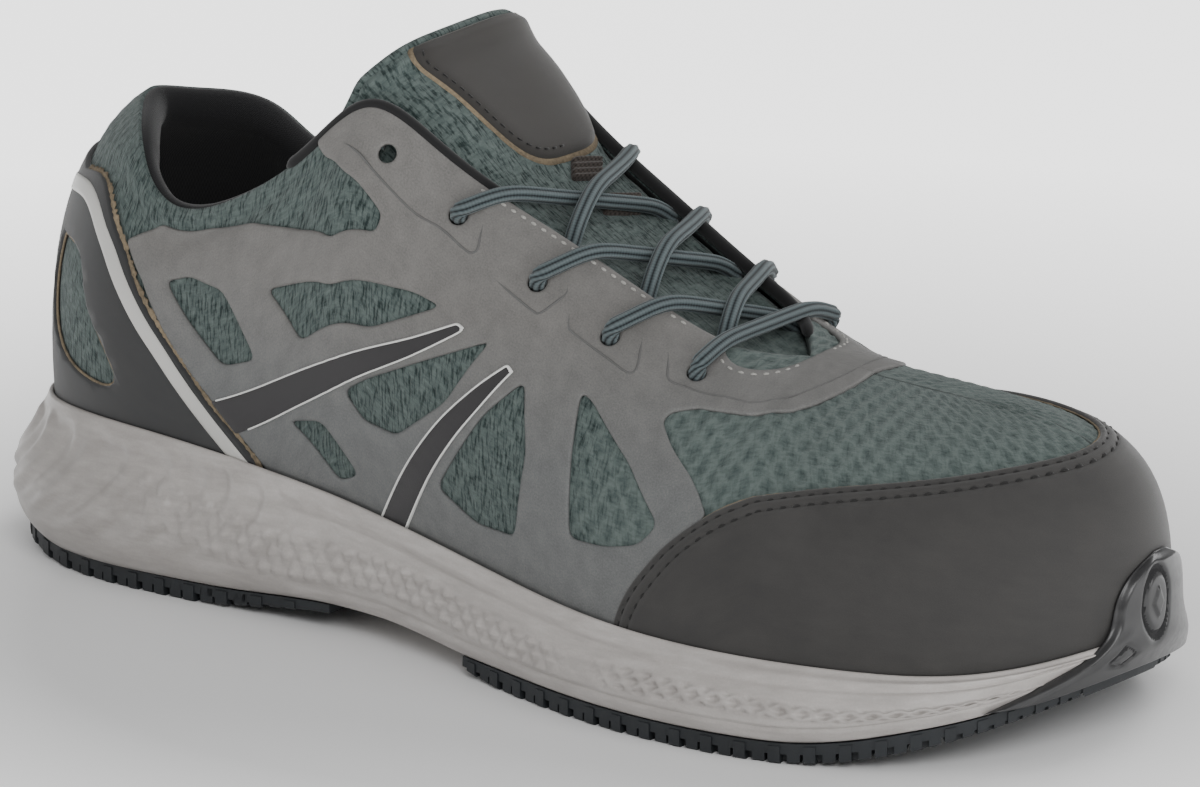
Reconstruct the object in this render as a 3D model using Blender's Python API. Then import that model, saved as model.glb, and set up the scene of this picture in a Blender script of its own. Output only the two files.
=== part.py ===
"""Safety sneaker, right shoe: toe along +X, outer side towards -Y, standing on its lugs at z = 0."""
import math

import bmesh
import bpy
import numpy as np
from mathutils.geometry import delaunay_2d_cdt

MM = 0.001

# sizes of the last
LAST_LENGTH = 280*MM
BALL_WIDTH = 98*MM
HEEL_WIDTH = 70*MM
COLLAR_RISE = 76*MM
INSTEP_RISE = 97*MM
TOE_RISE = 50*MM
HEEL_STACK = 24*MM
BALL_STACK = 13*MM
TOE_LIFT = 7*MM

# sizes of the sole
RUBBER = 4.8*MM
HEEL_FLARE = 11.5*MM
BALL_FLARE = 8*MM
RIM_LIP = 1.4*MM
HEEL_BEVEL = 4*MM
TOE_SPRING = 17*MM
ARCH_LIFT = 4*MM
LUG_DEPTH = 2.1*MM
LUG_REACH = 13*MM
BUMPER_RISE = 21*MM
BUMPER_THICK = 2.6*MM

# sizes of the upper and what is sewn to it
WALL = 2.2*MM
GAP = 0.35*MM
FILM = 0.7*MM
PATCH = 0.8*MM
BAND_WIDTH = 6.5*MM
TONGUE_THICK = 4.5*MM
TONGUE_LIFT = 7*MM
TONGUE_NARROW = 0.88
PAD_THICK = 6.5*MM
ROLL_RISE = 3*MM
INSOLE_THICK = 4*MM
LACE_RADIUS = 2.3*MM
EYELET_RADIUS = 2.1*MM

# how much of the skin's climb the tongue and the laces keep as they leave the throat edge
TONGUE_STEEP = 0.35
LACE_STEEP = 0.25

# where a lace dives under the throat edge, behind the next hole, as a share of the side
LACE_DIP = 0.028

# Rows from heel to toe. The foot of each rib is given as a share of the last's length and of its
# half width there, the head of the rib likewise, with its rise over the footbed.
# knot, along, outer, inner, head along, head outer, head inner, rise, lean, low pull, high pull, head slope
RIBS = [
    (0.000, 0.000, 0.00, 0.00, 0.052, 0.00, 0.00, 1.04*COLLAR_RISE, 6, 0.33, 0.34, 32),
    (0.075, 0.022, 0.62, 0.62, 0.070, 0.29, 0.29, 1.02*COLLAR_RISE, 6, 0.33, 0.34, 38),
    (0.160, 0.105, 0.99, 0.97, 0.112, 0.68, 0.70, 0.95*COLLAR_RISE, 6, 0.33, 0.34, 54),
    (0.250, 0.210, 1.03, 0.95, 0.190, 0.85, 0.84, 0.83*COLLAR_RISE, 8, 0.36, 0.32, 66),
    (0.310, 0.300, 0.99, 0.82, 0.295, 0.80, 0.74, 0.83*INSTEP_RISE, 8, 0.36, 0.34, 66),
    (0.360, 0.370, 0.97, 0.75, 0.356, 0.66, 0.68, 0.98*INSTEP_RISE, 8, 0.36, 0.34, 60),
    (0.400, 0.425, 0.98, 0.74, 0.410, 0.56, 0.62, 0.92*INSTEP_RISE, 8, 0.36, 0.34, 52),
    (0.480, 0.530, 1.02, 0.79, 0.510, 0.40, 0.50, 0.80*INSTEP_RISE, 8, 0.36, 0.34, 40),
    (0.560, 0.630, 1.06, 0.88, 0.600, 0.30, 0.42, 0.70*INSTEP_RISE, 8, 0.36, 0.34, 28),
    (0.640, 0.725, 1.05, 0.95, 0.668, 0.16, 0.32, 0.62*INSTEP_RISE, 7, 0.37, 0.36, 14),
    (0.700, 0.795, 0.985, 0.96, 0.706, -0.08, 0.08, 1.15*TOE_RISE, 6, 0.40, 0.40, 0),
    (0.780, 0.880, 0.80, 0.89, 0.768, -0.12, 0.12, 1.11*TOE_RISE, 6, 0.46, 0.44, 0),
    (0.880, 0.960, 0.43, 0.65, 0.828, -0.15, 0.15, 1.08*TOE_RISE, 6, 0.54, 0.50, 0),
    (1.000, 1.000, -0.16, 0.16, 0.862, -0.16, 0.16, 1.06*TOE_RISE, 5, 0.60, 0.58, 0),
]
KNOT, ALONG, OUTER, INNER, HEAD_ALONG, HEAD_OUTER, HEAD_INNER, RISE, LEAN, LOW, HIGH, SLOPE = range(12)
THROAT_END = 0.70
CORNER = 0.36

# columns of the mesh along each side, and rows up each rib
COLUMNS = [0, 0.04, 0.08, 0.12, 0.16, 0.20, 0.25, 0.30, 0.33, 0.36, 0.40, 0.45, 0.50, 0.55,
           0.60, 0.65, 0.70, 0.75, 0.80, 0.84, 0.88, 0.91, 0.94, 0.97, 1.0]
ROWS = [0, 0.14, 0.30, 0.46, 0.62, 0.78, 0.90, 1.0]
SIDE = len(COLUMNS)-1
TOP = len(ROWS)-1
ROUND = 2*SIDE

# height of the foam rim over the ground, by share of the last's length
RIM = [(0, 35), (0.10, 37), (0.27, 34.5), (0.40, 31), (0.52, 27), (0.66, 22.5), (0.86, 20), (0.97, 21.5), (1.0, 24)]

# how far each line of the sole stands out, as a share of the flare at heel or ball
# share of length, bulge, edge, ground
FLARE = [
    (0.00, 1.00*HEEL_FLARE, 0.80*HEEL_FLARE, 0.76*HEEL_FLARE),
    (0.10, 0.96*HEEL_FLARE, 0.70*HEEL_FLARE, 0.60*HEEL_FLARE),
    (0.25, 0.61*HEEL_FLARE, 0.43*HEEL_FLARE, 0.40*HEEL_FLARE),
    (0.40, 0.50*BALL_FLARE, 0.25*BALL_FLARE, 0.22*BALL_FLARE),
    (0.60, 0.62*BALL_FLARE, 0.62*BALL_FLARE, 0.60*BALL_FLARE),
    (0.75, 1.00*BALL_FLARE, 1.00*BALL_FLARE, 0.98*BALL_FLARE),
    (0.90, 1.00*BALL_FLARE, 1.00*BALL_FLARE, 0.95*BALL_FLARE),
    (1.00, 0.50*BALL_FLARE, 0.46*BALL_FLARE, 0.20*BALL_FLARE),
]

# outlines as (place along the side, share up the rib); past 1 is the inner side, below 0 too
COUNTER_EDGE = [(0.294, 0.05), (0.294, 0.115), (0.277, 0.22), (0.26, 0.33), (0.242, 0.45),
                (0.225, 0.565), (0.202, 0.70), (0.16, 0.775), (0.08, 0.74)]
COUNTER_WINDOW = [(0.085, 0.60), (0.125, 0.60), (0.145, 0.48), (0.18, 0.335), (0.165, 0.27),
                  (0.12, 0.28), (0.09, 0.36), (0.08, 0.48)]
BAND_PATH = [(0.255, 0.222), (0.250, 0.25), (0.244, 0.30), (0.227, 0.395), (0.21, 0.48), (0.193, 0.58),
             (0.17, 0.67), (0.14, 0.71), (0.11, 0.715), (0.07, 0.69), (0.0, 0.63)]
CAP_EDGE = [(0.592, 0.05), (0.592, 0.10), (0.601, 0.19), (0.615, 0.27), (0.636, 0.355), (0.659, 0.415),
            (0.698, 0.475), (0.75, 0.50), (0.80, 0.54), (0.85, 0.565), (0.90, 0.585), (0.955, 0.61),
            (1.0, 0.655), (1.05, 0.70), (1.10, 0.75), (1.15, 0.77), (1.20, 0.76), (1.25, 0.70),
            (1.29, 0.60), (1.325, 0.47), (1.36, 0.36), (1.382, 0.24), (1.396, 0.12), (1.396, 0.05)]
CAGE_FRONT = [(0.586, 0.05), (0.586, 0.11), (0.596, 0.20), (0.609, 0.28), (0.63, 0.365), (0.656, 0.428),
              (0.643, 0.535), (0.624, 0.615), (0.61, 0.69), (0.62, 0.715), (0.654, 0.745),
              (0.694, 0.745), (0.728, 0.805), (0.76, 1.0)]
CAGE_BACK = [(0.32, 1.0), (0.329, 0.93), (0.352, 0.85), (0.385, 0.79), (0.383, 0.745), (0.35, 0.70),
             (0.322, 0.765), (0.287, 0.88), (0.26, 0.925), (0.222, 0.92), (0.183, 0.765), (0.209, 0.70),
             (0.231, 0.565), (0.248, 0.45), (0.266, 0.33), (0.283, 0.22), (0.30, 0.115), (0.30, 0.05)]
CAGE_WINDOWS = [
    [(0.233, 0.74), (0.252, 0.765), (0.273, 0.70), (0.295, 0.46), (0.273, 0.455)],
    [(0.301, 0.655), (0.354, 0.59), (0.414, 0.68), (0.434, 0.685), (0.386, 0.535), (0.328, 0.475)],
    [(0.363, 0.355), (0.423, 0.53), (0.474, 0.67), (0.445, 0.47), (0.406, 0.325), (0.378, 0.31)],
    [(0.317, 0.275), (0.342, 0.275), (0.372, 0.175), (0.354, 0.14)],
    [(0.504, 0.62), (0.513, 0.45), (0.507, 0.23), (0.472, 0.215), (0.439, 0.255), (0.476, 0.485)],
    [(0.546, 0.665), (0.556, 0.655), (0.595, 0.535), (0.624, 0.39), (0.61, 0.33), (0.582, 0.30),
     (0.553, 0.29)],
]
BLADE = [(0.272, 0.33), (0.36, 0.44), (0.43, 0.60), (0.436, 0.585), (0.37, 0.395), (0.288, 0.255)]

# lace holes, from the collar corner to the front of the throat; the first stays empty
EYELETS = [(0.378, 0.915), (0.427, 0.90), (0.49, 0.86), (0.55, 0.835), (0.622, 0.85)]

# rows of lugs: first and last place along the side, number of lugs
HEEL_LUGS = (0.10, 0.335, 7)
FORE_LUGS = (0.47, 0.93, 14)


def clamp(t):
    return np.clip(t, 0, 1)


def smooth(t):
    t = clamp(t)
    return t*t*(3-2*t)


def spline(knots, values, at):
    """Natural cubic through the values at the knots."""
    k, v, at = np.asarray(knots, float), np.asarray(values, float), np.asarray(at, float)
    n, h = len(k), np.diff(k)
    m, r = np.zeros((n, n)), np.zeros(n)
    m[0, 0] = m[-1, -1] = 1
    d = np.diff(v)/h
    for i in range(1, n-1):
        m[i, i-1], m[i, i], m[i, i+1] = h[i-1], 2*(h[i-1]+h[i]), h[i]
        r[i] = 6*(d[i]-d[i-1])
    c = np.linalg.solve(m, r)
    i = np.clip(np.searchsorted(k, at, side="right")-1, 0, n-2)
    t, s = at-k[i], h[i]
    return (v[i]*(s-t)+v[i+1]*t)/s+((s-t)**3/s-(s-t)*s)*c[i]/6+(t**3/s-t*s)*c[i+1]/6


def column(index):
    return np.array([row[index] for row in RIBS], float)


KNOTS = column(KNOT)


def on_side(outer, inner, place, side, odd):
    """Value along one side, from a spline that runs on into the other side at heel and toe."""
    own, other = (outer, inner) if side < 0 else (inner, outer)
    knots = np.concatenate([-KNOTS[3:0:-1], KNOTS, 2-KNOTS[-2:-5:-1]])
    sign = -1 if odd else 1
    values = np.concatenate([sign*other[3:0:-1], own, sign*other[-2:-5:-1]])
    return spline(knots, values, place)


def half_width(share):
    return (HEEL_WIDTH+(BALL_WIDTH-HEEL_WIDTH)*smooth((share-0.15)/0.57))/2


def floor_height(share):
    front = BALL_STACK+TOE_LIFT*clamp((share-0.78)/0.22)**2
    return HEEL_STACK+(front-HEEL_STACK)*smooth((share-0.22)/0.48)


def foot(side, place):
    """Plan outline of the upper where it meets the footbed."""
    share = on_side(column(ALONG), column(ALONG), place, side, False)
    w = half_width(column(ALONG))
    y = side*on_side(column(OUTER)*w, column(INNER)*w, place, side, True)
    return np.stack([share*LAST_LENGTH, y], -1)


def outward(side, place):
    d = foot(side, place+1e-4)-foot(side, place-1e-4)
    n = np.stack([-d[..., 1]*side, d[..., 0]*side], -1)
    return n/np.linalg.norm(n, axis=-1, keepdims=True)


def head_of(side, place):
    w = half_width(column(ALONG))
    share = on_side(column(HEAD_ALONG), column(HEAD_ALONG), place, side, False)
    y = side*on_side(column(HEAD_OUTER)*w, column(HEAD_INNER)*w, place, side, True)
    rise = on_side(column(RISE), column(RISE), place, side, False)
    return np.stack([share*LAST_LENGTH, y, floor_height(share)+rise], -1)


def head(side, place):
    """Collar, throat edge, then the ridge of the vamp, where both sides are one line."""
    place = np.asarray(place, float)
    blend = 0.5*smooth((place-(THROAT_END-0.02))/0.02)[..., None]
    return head_of(side, place)*(1-blend)+head_of(-side, place)*blend


def rib(side, place, shares):
    """Points up one rib of the last, at even shares of its length."""
    place = float(place)
    at = np.array([place])
    xy = foot(side, at)[0]
    start = np.array([xy[0], xy[1], floor_height(xy[0]/LAST_LENGTH)])
    end = head(side, at)[0]
    normal = outward(side, at)[0]
    chord = np.linalg.norm(end-start)
    value = [float(on_side(column(i), column(i), at, side, False)[0]) for i in (LEAN, LOW, HIGH, SLOPE)]
    lean, slope = math.radians(value[0]), math.radians(value[3])
    before = head(side, np.array([max(place-0.03, 0)]))[0]
    after = head(side, np.array([min(place+0.03, 1)]))[0]
    ridge = math.atan(-normal[0]*(after[2]-before[2])/max(after[0]-before[0], 1*MM))
    mix = float(smooth((place-(THROAT_END-0.08))/0.08))
    slope = slope*(1-mix)+ridge*mix
    low = start+value[1]*chord*np.array([normal[0]*math.sin(lean), normal[1]*math.sin(lean), math.cos(lean)])
    inward = np.array([-normal[0]*math.cos(slope), -normal[1]*math.cos(slope), math.sin(slope)])
    high = end-value[2]*chord*inward
    t = np.linspace(0, 1, 161)[:, None]
    curve = (1-t)**3*start+3*(1-t)**2*t*low+3*(1-t)*t*t*high+t**3*end
    length = np.concatenate([[0], np.cumsum(np.linalg.norm(np.diff(curve, axis=0), axis=1))])
    want = np.asarray(shares, float)*length[-1]
    return np.stack([np.interp(want, length, curve[:, i]) for i in range(3)], -1)


def ring_place(c):
    """Side and place of a column counted round the shoe from the heel."""
    c = c % ROUND
    return (-1, COLUMNS[c]) if c <= SIDE else (1, COLUMNS[ROUND-c])


# the skin of the upper: points, which points are one, and normals
SKIN = np.array([rib(*ring_place(c), ROWS) for c in range(ROUND)])
INDEX = np.arange(ROUND*(TOP+1)).reshape(ROUND, TOP+1)
for c in range(SIDE+1, ROUND):
    if COLUMNS[ROUND-c] >= THROAT_END:
        INDEX[c, TOP] = INDEX[ROUND-c, TOP]


def skin_triangles():
    out = []
    for c in range(ROUND):
        d = (c+1) % ROUND
        for j in range(TOP):
            for tri in ((INDEX[c, j], INDEX[d, j], INDEX[d, j+1]), (INDEX[c, j], INDEX[d, j+1], INDEX[c, j+1])):
                if len(set(tri)) == 3:
                    out.append(tuple(int(i) for i in tri))
    return out


def vertex_normals(points, triangles):
    normals = np.zeros_like(points)
    tri = np.array(triangles)
    face = np.cross(points[tri[:, 1]]-points[tri[:, 0]], points[tri[:, 2]]-points[tri[:, 0]])
    for k in range(3):
        np.add.at(normals, tri[:, k], face)
    size = np.linalg.norm(normals, axis=1, keepdims=True)
    return normals/np.where(size > 0, size, 1)


SKIN_POINTS = SKIN.reshape(-1, 3)
SKIN_TRIANGLES = skin_triangles()
SKIN_NORMALS = vertex_normals(SKIN_POINTS, SKIN_TRIANGLES)


def to_grid(point):
    """(place, share) to (column, row) of the skin's mesh; the inner side runs on past 1 or below 0."""
    place, share = point
    if place > 1:
        u = ROUND-np.interp(2-place, COLUMNS, range(SIDE+1))
    elif place < 0:
        u = -np.interp(-place, COLUMNS, range(SIDE+1))
    else:
        u = np.interp(place, COLUMNS, range(SIDE+1))
    return float(u), float(np.interp(share, ROWS, range(TOP+1)))


def on_skin(u, v):
    """Point and normal on the flat facets of the skin's mesh."""
    i, j = int(math.floor(u+1e-9)), min(int(math.floor(v+1e-9)), TOP-1)
    fu, fv = u-i, v-j
    a, b = INDEX[i % ROUND, j], INDEX[(i+1) % ROUND, j]
    c, d = INDEX[(i+1) % ROUND, j+1], INDEX[i % ROUND, j+1]
    if fu >= fv:
        w = ((a, 1-fu), (b, fu-fv), (c, fv))
    else:
        w = ((a, 1-fv), (d, fv-fu), (c, fu))
    return (sum(SKIN_POINTS[k]*s for k, s in w), sum(SKIN_NORMALS[k]*s for k, s in w))


def offset_point(place, share, lift):
    p, n = on_skin(*to_grid((place, share)))
    return p+n/np.linalg.norm(n)*lift


def inside(point, polygon):
    x, y = point
    hit = False
    for (x0, y0), (x1, y1) in zip(polygon, polygon[1:]+polygon[:1]):
        if (y0 > y) != (y1 > y) and x < x0+(y-y0)*(x1-x0)/(y1-y0):
            hit = not hit
    return hit


def patch_mesh(outline, holes):
    """Flat triangles of an outline with holes, cut along the lines of the skin's mesh."""
    loops = [[to_grid(p) for p in outline]]+[[to_grid(p) for p in hole] for hole in holes]
    points, edges = [], []
    for loop in loops:
        first = len(points)
        points += loop
        edges += [(first+k, first+(k+1) % len(loop)) for k in range(len(loop))]
    low = int(math.floor(min(p[0] for p in loops[0])))-1
    high = int(math.ceil(max(p[0] for p in loops[0])))+1
    first = len(points)
    wide = high-low+1
    points += [(float(u), float(v)) for v in range(TOP+1) for u in range(low, high+1)]
    for v in range(TOP+1):
        for u in range(wide):
            here = first+v*wide+u
            if u+1 < wide:
                edges.append((here, here+1))
            if v < TOP:
                edges.append((here, here+wide))
            if v < TOP and u+1 < wide:
                edges.append((here, here+wide+1))
    flat, _, faces, _, _, _ = delaunay_2d_cdt([tuple(p) for p in points], edges, [], 0, 1e-5)
    keep = []
    for f in faces:
        mid = (sum(flat[k][0] for k in f)/3, sum(flat[k][1] for k in f)/3)
        if inside(mid, loops[0]) and not any(inside(mid, hole) for hole in loops[1:]):
            p, q, r = (flat[k] for k in f)
            turn = (q[0]-p[0])*(r[1]-p[1])-(q[1]-p[1])*(r[0]-p[0])
            if abs(turn) > 1e-6:
                keep.append(tuple(f) if turn > 0 else (f[0], f[2], f[1]))
    return [(p[0], p[1]) for p in flat], keep


def place_patch(pieces):
    """Set flat pieces on the skin and weld what falls together."""
    points, normals, triangles, seen = [], [], [], {}
    for flat, faces in pieces:
        lookup = {}
        for k in sorted({i for f in faces for i in f}):
            p, n = on_skin(*flat[k])
            key = tuple(int(round(x/(0.02*MM))) for x in p)
            if key not in seen:
                seen[key] = len(points)
                points.append(p)
                normals.append(n)
            lookup[k] = seen[key]
        for f in faces:
            tri = tuple(lookup[k] for k in f)
            if len(set(tri)) == 3:
                triangles.append(tri)
    return np.array(points), np.array(normals), triangles


def thicken(points, normals, triangles, low, high):
    """Closed body between two offsets of a sheet."""
    low = np.broadcast_to(np.asarray(low, float), (len(points),))[:, None]
    high = np.broadcast_to(np.asarray(high, float), (len(points),))[:, None]
    n = len(points)
    verts = np.concatenate([points+normals*high, points+normals*low])
    faces = [tuple(t) for t in triangles]+[(t[0]+n, t[2]+n, t[1]+n) for t in triangles]
    used = {}
    for t in triangles:
        for a, b in ((t[0], t[1]), (t[1], t[2]), (t[2], t[0])):
            used[(a, b)] = used.get((a, b), 0)+1
    for a, b in used:
        if (b, a) not in used:
            faces.append((a, a+n, b+n, b))
    return verts, faces


def ladder(first, flip):
    """Cap of a ring, strip by strip from heel to toe."""
    faces = []
    for i in range(SIDE):
        a, b = first+i, first+i+1
        c, d = first+(ROUND-i-1) % ROUND, first+(ROUND-i) % ROUND
        face = [a, b] + ([c] if c != b else []) + ([d] if d != a else [])
        faces.append(tuple(face[::-1] if flip else face))
    return faces


def ring_solid(rings):
    """Closed body through rings, first ring the top cap, last ring the bottom cap."""
    verts = np.concatenate(rings)
    faces = ladder(0, False)
    for k in range(len(rings)-1):
        for c in range(ROUND):
            d = (c+1) % ROUND
            faces.append((k*ROUND+c, (k+1)*ROUND+c, (k+1)*ROUND+d, k*ROUND+d))
    faces += ladder((len(rings)-1)*ROUND, True)
    return verts, faces


def grid_solid(upper, lower):
    """Closed body between two grids of points of the same size."""
    rows, cols = upper.shape[:2]
    verts = np.concatenate([upper.reshape(-1, 3), lower.reshape(-1, 3)])
    n, faces = rows*cols, []
    for i in range(rows-1):
        for j in range(cols-1):
            a, b, c, d = i*cols+j, (i+1)*cols+j, (i+1)*cols+j+1, i*cols+j+1
            faces.append((a, b, c, d))
            faces.append((a+n, d+n, c+n, b+n))
    rim = [(i, 0) for i in range(rows)]+[(rows-1, j) for j in range(1, cols)]
    rim += [(i, cols-1) for i in range(rows-2, -1, -1)]+[(0, j) for j in range(cols-2, 0, -1)]
    ids = [i*cols+j for i, j in rim]
    for a, b in zip(ids, ids[1:]+ids[:1]):
        faces.append((a, a+n, b+n, b))
    return verts, faces


# scene set up
for old in list(bpy.data.objects):
    bpy.data.objects.remove(old, do_unlink=True)
PARTS = bpy.data.collections.new("safety_sneaker")
bpy.context.scene.collection.children.link(PARTS)
CUTTERS = bpy.data.collections.new("cutters")
bpy.context.scene.collection.children.link(CUTTERS)


def material(name, color, roughness):
    mat = bpy.data.materials.new(name)
    mat.use_nodes = True
    node = mat.node_tree.nodes["Principled BSDF"]
    node.inputs["Base Color"].default_value = (*color, 1)
    node.inputs["Roughness"].default_value = roughness
    mat.diffuse_color = (*color, 1)
    return mat


def make(name, verts, faces, mat, collection=None):
    mesh = bpy.data.meshes.new(name)
    mesh.from_pydata([tuple(float(x) for x in v) for v in verts], [], faces)
    bm = bmesh.new()
    bm.from_mesh(mesh)
    bmesh.ops.remove_doubles(bm, verts=bm.verts, dist=0.00002)
    bmesh.ops.dissolve_degenerate(bm, edges=bm.edges, dist=0.00001)
    loose = [v for v in bm.verts if not v.link_faces]
    bmesh.ops.delete(bm, geom=loose, context="VERTS")
    bmesh.ops.triangulate(bm, faces=[f for f in bm.faces if len(f.verts) > 3])
    bmesh.ops.recalc_face_normals(bm, faces=bm.faces)
    if bm.calc_volume(signed=True) < 0:
        bmesh.ops.reverse_faces(bm, faces=bm.faces)
    bm.to_mesh(mesh)
    bm.free()
    obj = bpy.data.objects.new(name, mesh)
    (collection or PARTS).objects.link(obj)
    if mat:
        mesh.materials.append(mat)
    return obj


def boolean(target, tool, operation):
    mod = target.modifiers.new(operation.lower(), "BOOLEAN")
    mod.operation = operation
    mod.solver = "EXACT"
    mod.object = tool
    tool.hide_render = True
    tool.display_type = "WIRE"


# the sole's rings
def rim_height(share):
    return np.interp(share, [r[0] for r in RIM], [r[1] for r in RIM])*MM


def ground(x):
    """Underside of the rubber: flat under heel and ball, bevelled behind, sprung in front."""
    toe = TOE_SPRING*np.clip((x/LAST_LENGTH-0.81)/0.214, 0, 1.3)**2
    heel = HEEL_BEVEL*np.clip((0.072-x/LAST_LENGTH)/0.104, 0, 1.5)**1.5
    share = np.clip(x/LAST_LENGTH, 0, 1)
    arch = ARCH_LIFT*(smooth((share-0.20)/0.16)*(1-smooth((share-0.42)/0.14)))
    return toe+heel+arch


def foam_bottom(x):
    share = x/LAST_LENGTH
    toe = TOE_SPRING*np.clip((share-0.81)/0.214, 0, 1.3)**2
    heel = HEEL_BEVEL*np.clip((0.072-share)/0.104, 0, 1.5)**1.5
    arch = 0.42*ARCH_LIFT*(smooth((share-0.22)/0.14)*(1-smooth((share-0.40)/0.12)))
    return (RUBBER-1.2*MM*smooth((share-0.90)/0.08))+toe+heel+arch


def flare(share, which):
    return np.interp(share, [r[0] for r in FLARE], [r[which] for r in FLARE])


def ring(offset, height):
    """Ring round the foot line, out by offset(share), at height(share, x)."""
    out = []
    for c in range(ROUND):
        side, place = ring_place(c)
        xy = foot(side, np.array([place]))[0]
        share = xy[0]/LAST_LENGTH
        p = xy+outward(side, np.array([place]))[0]*offset(share)
        out.append((p[0], p[1], height(share, p[0])))
    return np.array(out)


def skin_ring(offset, height):
    """Ring round the skin of the upper at a height, out by offset."""
    out = []
    for c in range(ROUND):
        side, place = ring_place(c)
        line = rib(side, place, np.linspace(0, 0.5, 81))
        share = foot(side, np.array([place]))[0][0]/LAST_LENGTH
        z = height(share)
        p = np.array([np.interp(z, line[:, 2], line[:, i]) for i in range(2)])
        p = p+outward(side, np.array([place]))[0]*offset
        out.append((p[0], p[1], z))
    return np.array(out)


SEAT = GAP+PATCH+GAP
low_rim = ring(lambda s: flare(s, 1)*0.45+2.2*MM, lambda s, x: rim_height(s)-0.30*(rim_height(s)-foam_bottom(x)))
midsole_rings = [
    ring(lambda s: SEAT, lambda s, x: floor_height(s)-0.3*MM),
    skin_ring(SEAT, lambda s: rim_height(s)-0.5*MM),
    skin_ring(SEAT+0.35*RIM_LIP, rim_height),
    skin_ring(SEAT+RIM_LIP, lambda s: rim_height(s)-0.6*MM),
    low_rim,
    ring(lambda s: flare(s, 1), lambda s, x: rim_height(s)-0.60*(rim_height(s)-foam_bottom(x))),
    ring(lambda s: 0.3*flare(s, 1)+0.7*flare(s, 2), lambda s, x: foam_bottom(x)+1.5*MM),
    ring(lambda s: flare(s, 2)-0.6*MM, lambda s, x: foam_bottom(x)),
]
midsole = make("midsole", *ring_solid(midsole_rings), material("foam", (0.50, 0.48, 0.46), 0.75))

insole_rings = [
    ring(lambda s: -(WALL+1.0*MM), lambda s, x: floor_height(s)+INSOLE_THICK),
    ring(lambda s: -(WALL+0.5*MM), lambda s, x: floor_height(s)+0.5*INSOLE_THICK),
    ring(lambda s: -(WALL+1.0*MM), lambda s, x: floor_height(s)+0.1*MM),
]
insole = make("insole", *ring_solid(insole_rings), material("footbed", (0.03, 0.03, 0.035), 0.9))


# the outsole pads and their lugs
def plan_point(side, place, inset):
    """Point in plan, in from the ground line of the sole by inset."""
    at = np.array([place])
    xy = foot(side, at)[0]
    return xy+outward(side, at)[0]*(flare(xy[0]/LAST_LENGTH, 3)-inset)


def block(corners, top, bottom):
    """Six sided lug from four plan corners."""
    verts = [(p[0], p[1], top(p[0])) for p in corners]+[(p[0], p[1], bottom(p[0])) for p in corners]
    return verts, [(0, 1, 2, 3), (7, 6, 5, 4), (0, 4, 5, 1), (1, 5, 6, 2), (2, 6, 7, 3), (3, 7, 4, 0)]


def pad_plate(places, rear_round):
    """Plate of a pad: both sides of the outline between two places, closed across."""
    outer = [plan_point(-1, p, 0.3*MM) for p in places]
    inner = [plan_point(1, p, 0.3*MM) for p in places]
    verts, faces = [], []
    n = len(places)
    for line in (outer, inner):
        for p in line:
            verts.append((p[0], p[1], foam_bottom(p[0])-GAP))
    for line in (outer, inner):
        for p in line:
            low = max(ground(p[0])+0.2*MM, foam_bottom(p[0])-GAP-(RUBBER-GAP-LUG_DEPTH))
            verts.append((p[0], p[1], low))
    for i in range(n-1):
        faces.append((i, i+1, n+i+1, n+i))
        faces.append((2*n+i, 3*n+i, 3*n+i+1, 2*n+i+1))
        faces.append((i, 2*n+i, 2*n+i+1, i+1))
        faces.append((n+i, n+i+1, 3*n+i+1, 3*n+i))
    faces.append((0, n, 3*n, 2*n))
    faces.append((n-1, 3*n-1, 4*n-1, 2*n-1))
    return verts, faces


def lug_set(first, last, count, centre):
    """Edge lugs on both sides and a row of lugs down the middle."""
    out = []
    pitch = (last-first)/count
    top = lambda x: foam_bottom(x)-GAP-0.6*MM
    for i in range(count):
        a, b = first+pitch*i, first+pitch*(i+0.72)
        for side in (-1, 1):
            corners = [plan_point(side, a, 0), plan_point(side, b, 0),
                       plan_point(side, b, LUG_REACH), plan_point(side, a, LUG_REACH)]
            out.append(block(corners if side < 0 else corners[::-1], top, ground))
    for a, b in centre:
        corners = [plan_point(-1, a, LUG_REACH+4*MM), plan_point(-1, b, LUG_REACH+4*MM),
                   plan_point(1, b, LUG_REACH+4*MM), plan_point(1, a, LUG_REACH+4*MM)]
        out.append(block(corners, top, ground))
    return out


def pad(name, places, lugs, mat):
    body = make(name, *pad_plate(places, True), mat)
    verts, faces = [], []
    for v, f in lugs:
        first = len(verts)
        verts += v
        faces += [tuple(first+k for k in face) for face in f]
    tool = make(name+"_lugs", verts, faces, None, CUTTERS)
    boolean(body, tool, "UNION")
    return body


rubber = material("rubber", (0.022, 0.026, 0.030), 0.7)
heel_places = [0.012, 0.04, 0.08, 0.12, 0.16, 0.20, 0.24, 0.28, 0.32, 0.345]
fore_places = [0.46, 0.50, 0.54, 0.58, 0.62, 0.66, 0.70, 0.74, 0.78, 0.82, 0.86, 0.90, 0.94, 0.965, 0.988]
heel_tail = [block([plan_point(-1, 0.02, 0), plan_point(-1, 0.085, 0), plan_point(1, 0.085, 0), plan_point(1, 0.02, 0)],
                   lambda x: foam_bottom(x)-GAP-0.6*MM, ground)]
fore_tip = [block([plan_point(-1, 0.94, 0), plan_point(-1, 0.985, 0), plan_point(1, 0.985, 0), plan_point(1, 0.94, 0)],
                  lambda x: foam_bottom(x)-GAP-0.6*MM, ground)]
outsole_heel = pad("outsole_heel", heel_places,
                   lug_set(*HEEL_LUGS, [(0.14, 0.19), (0.205, 0.25), (0.265, 0.315)])+heel_tail, rubber)
outsole_forefoot = pad("outsole_forefoot", fore_places,
                       lug_set(*FORE_LUGS, [(0.485, 0.53), (0.55, 0.595), (0.615, 0.66), (0.68, 0.725),
                                            (0.745, 0.79), (0.81, 0.86)])+fore_tip, rubber)


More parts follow.
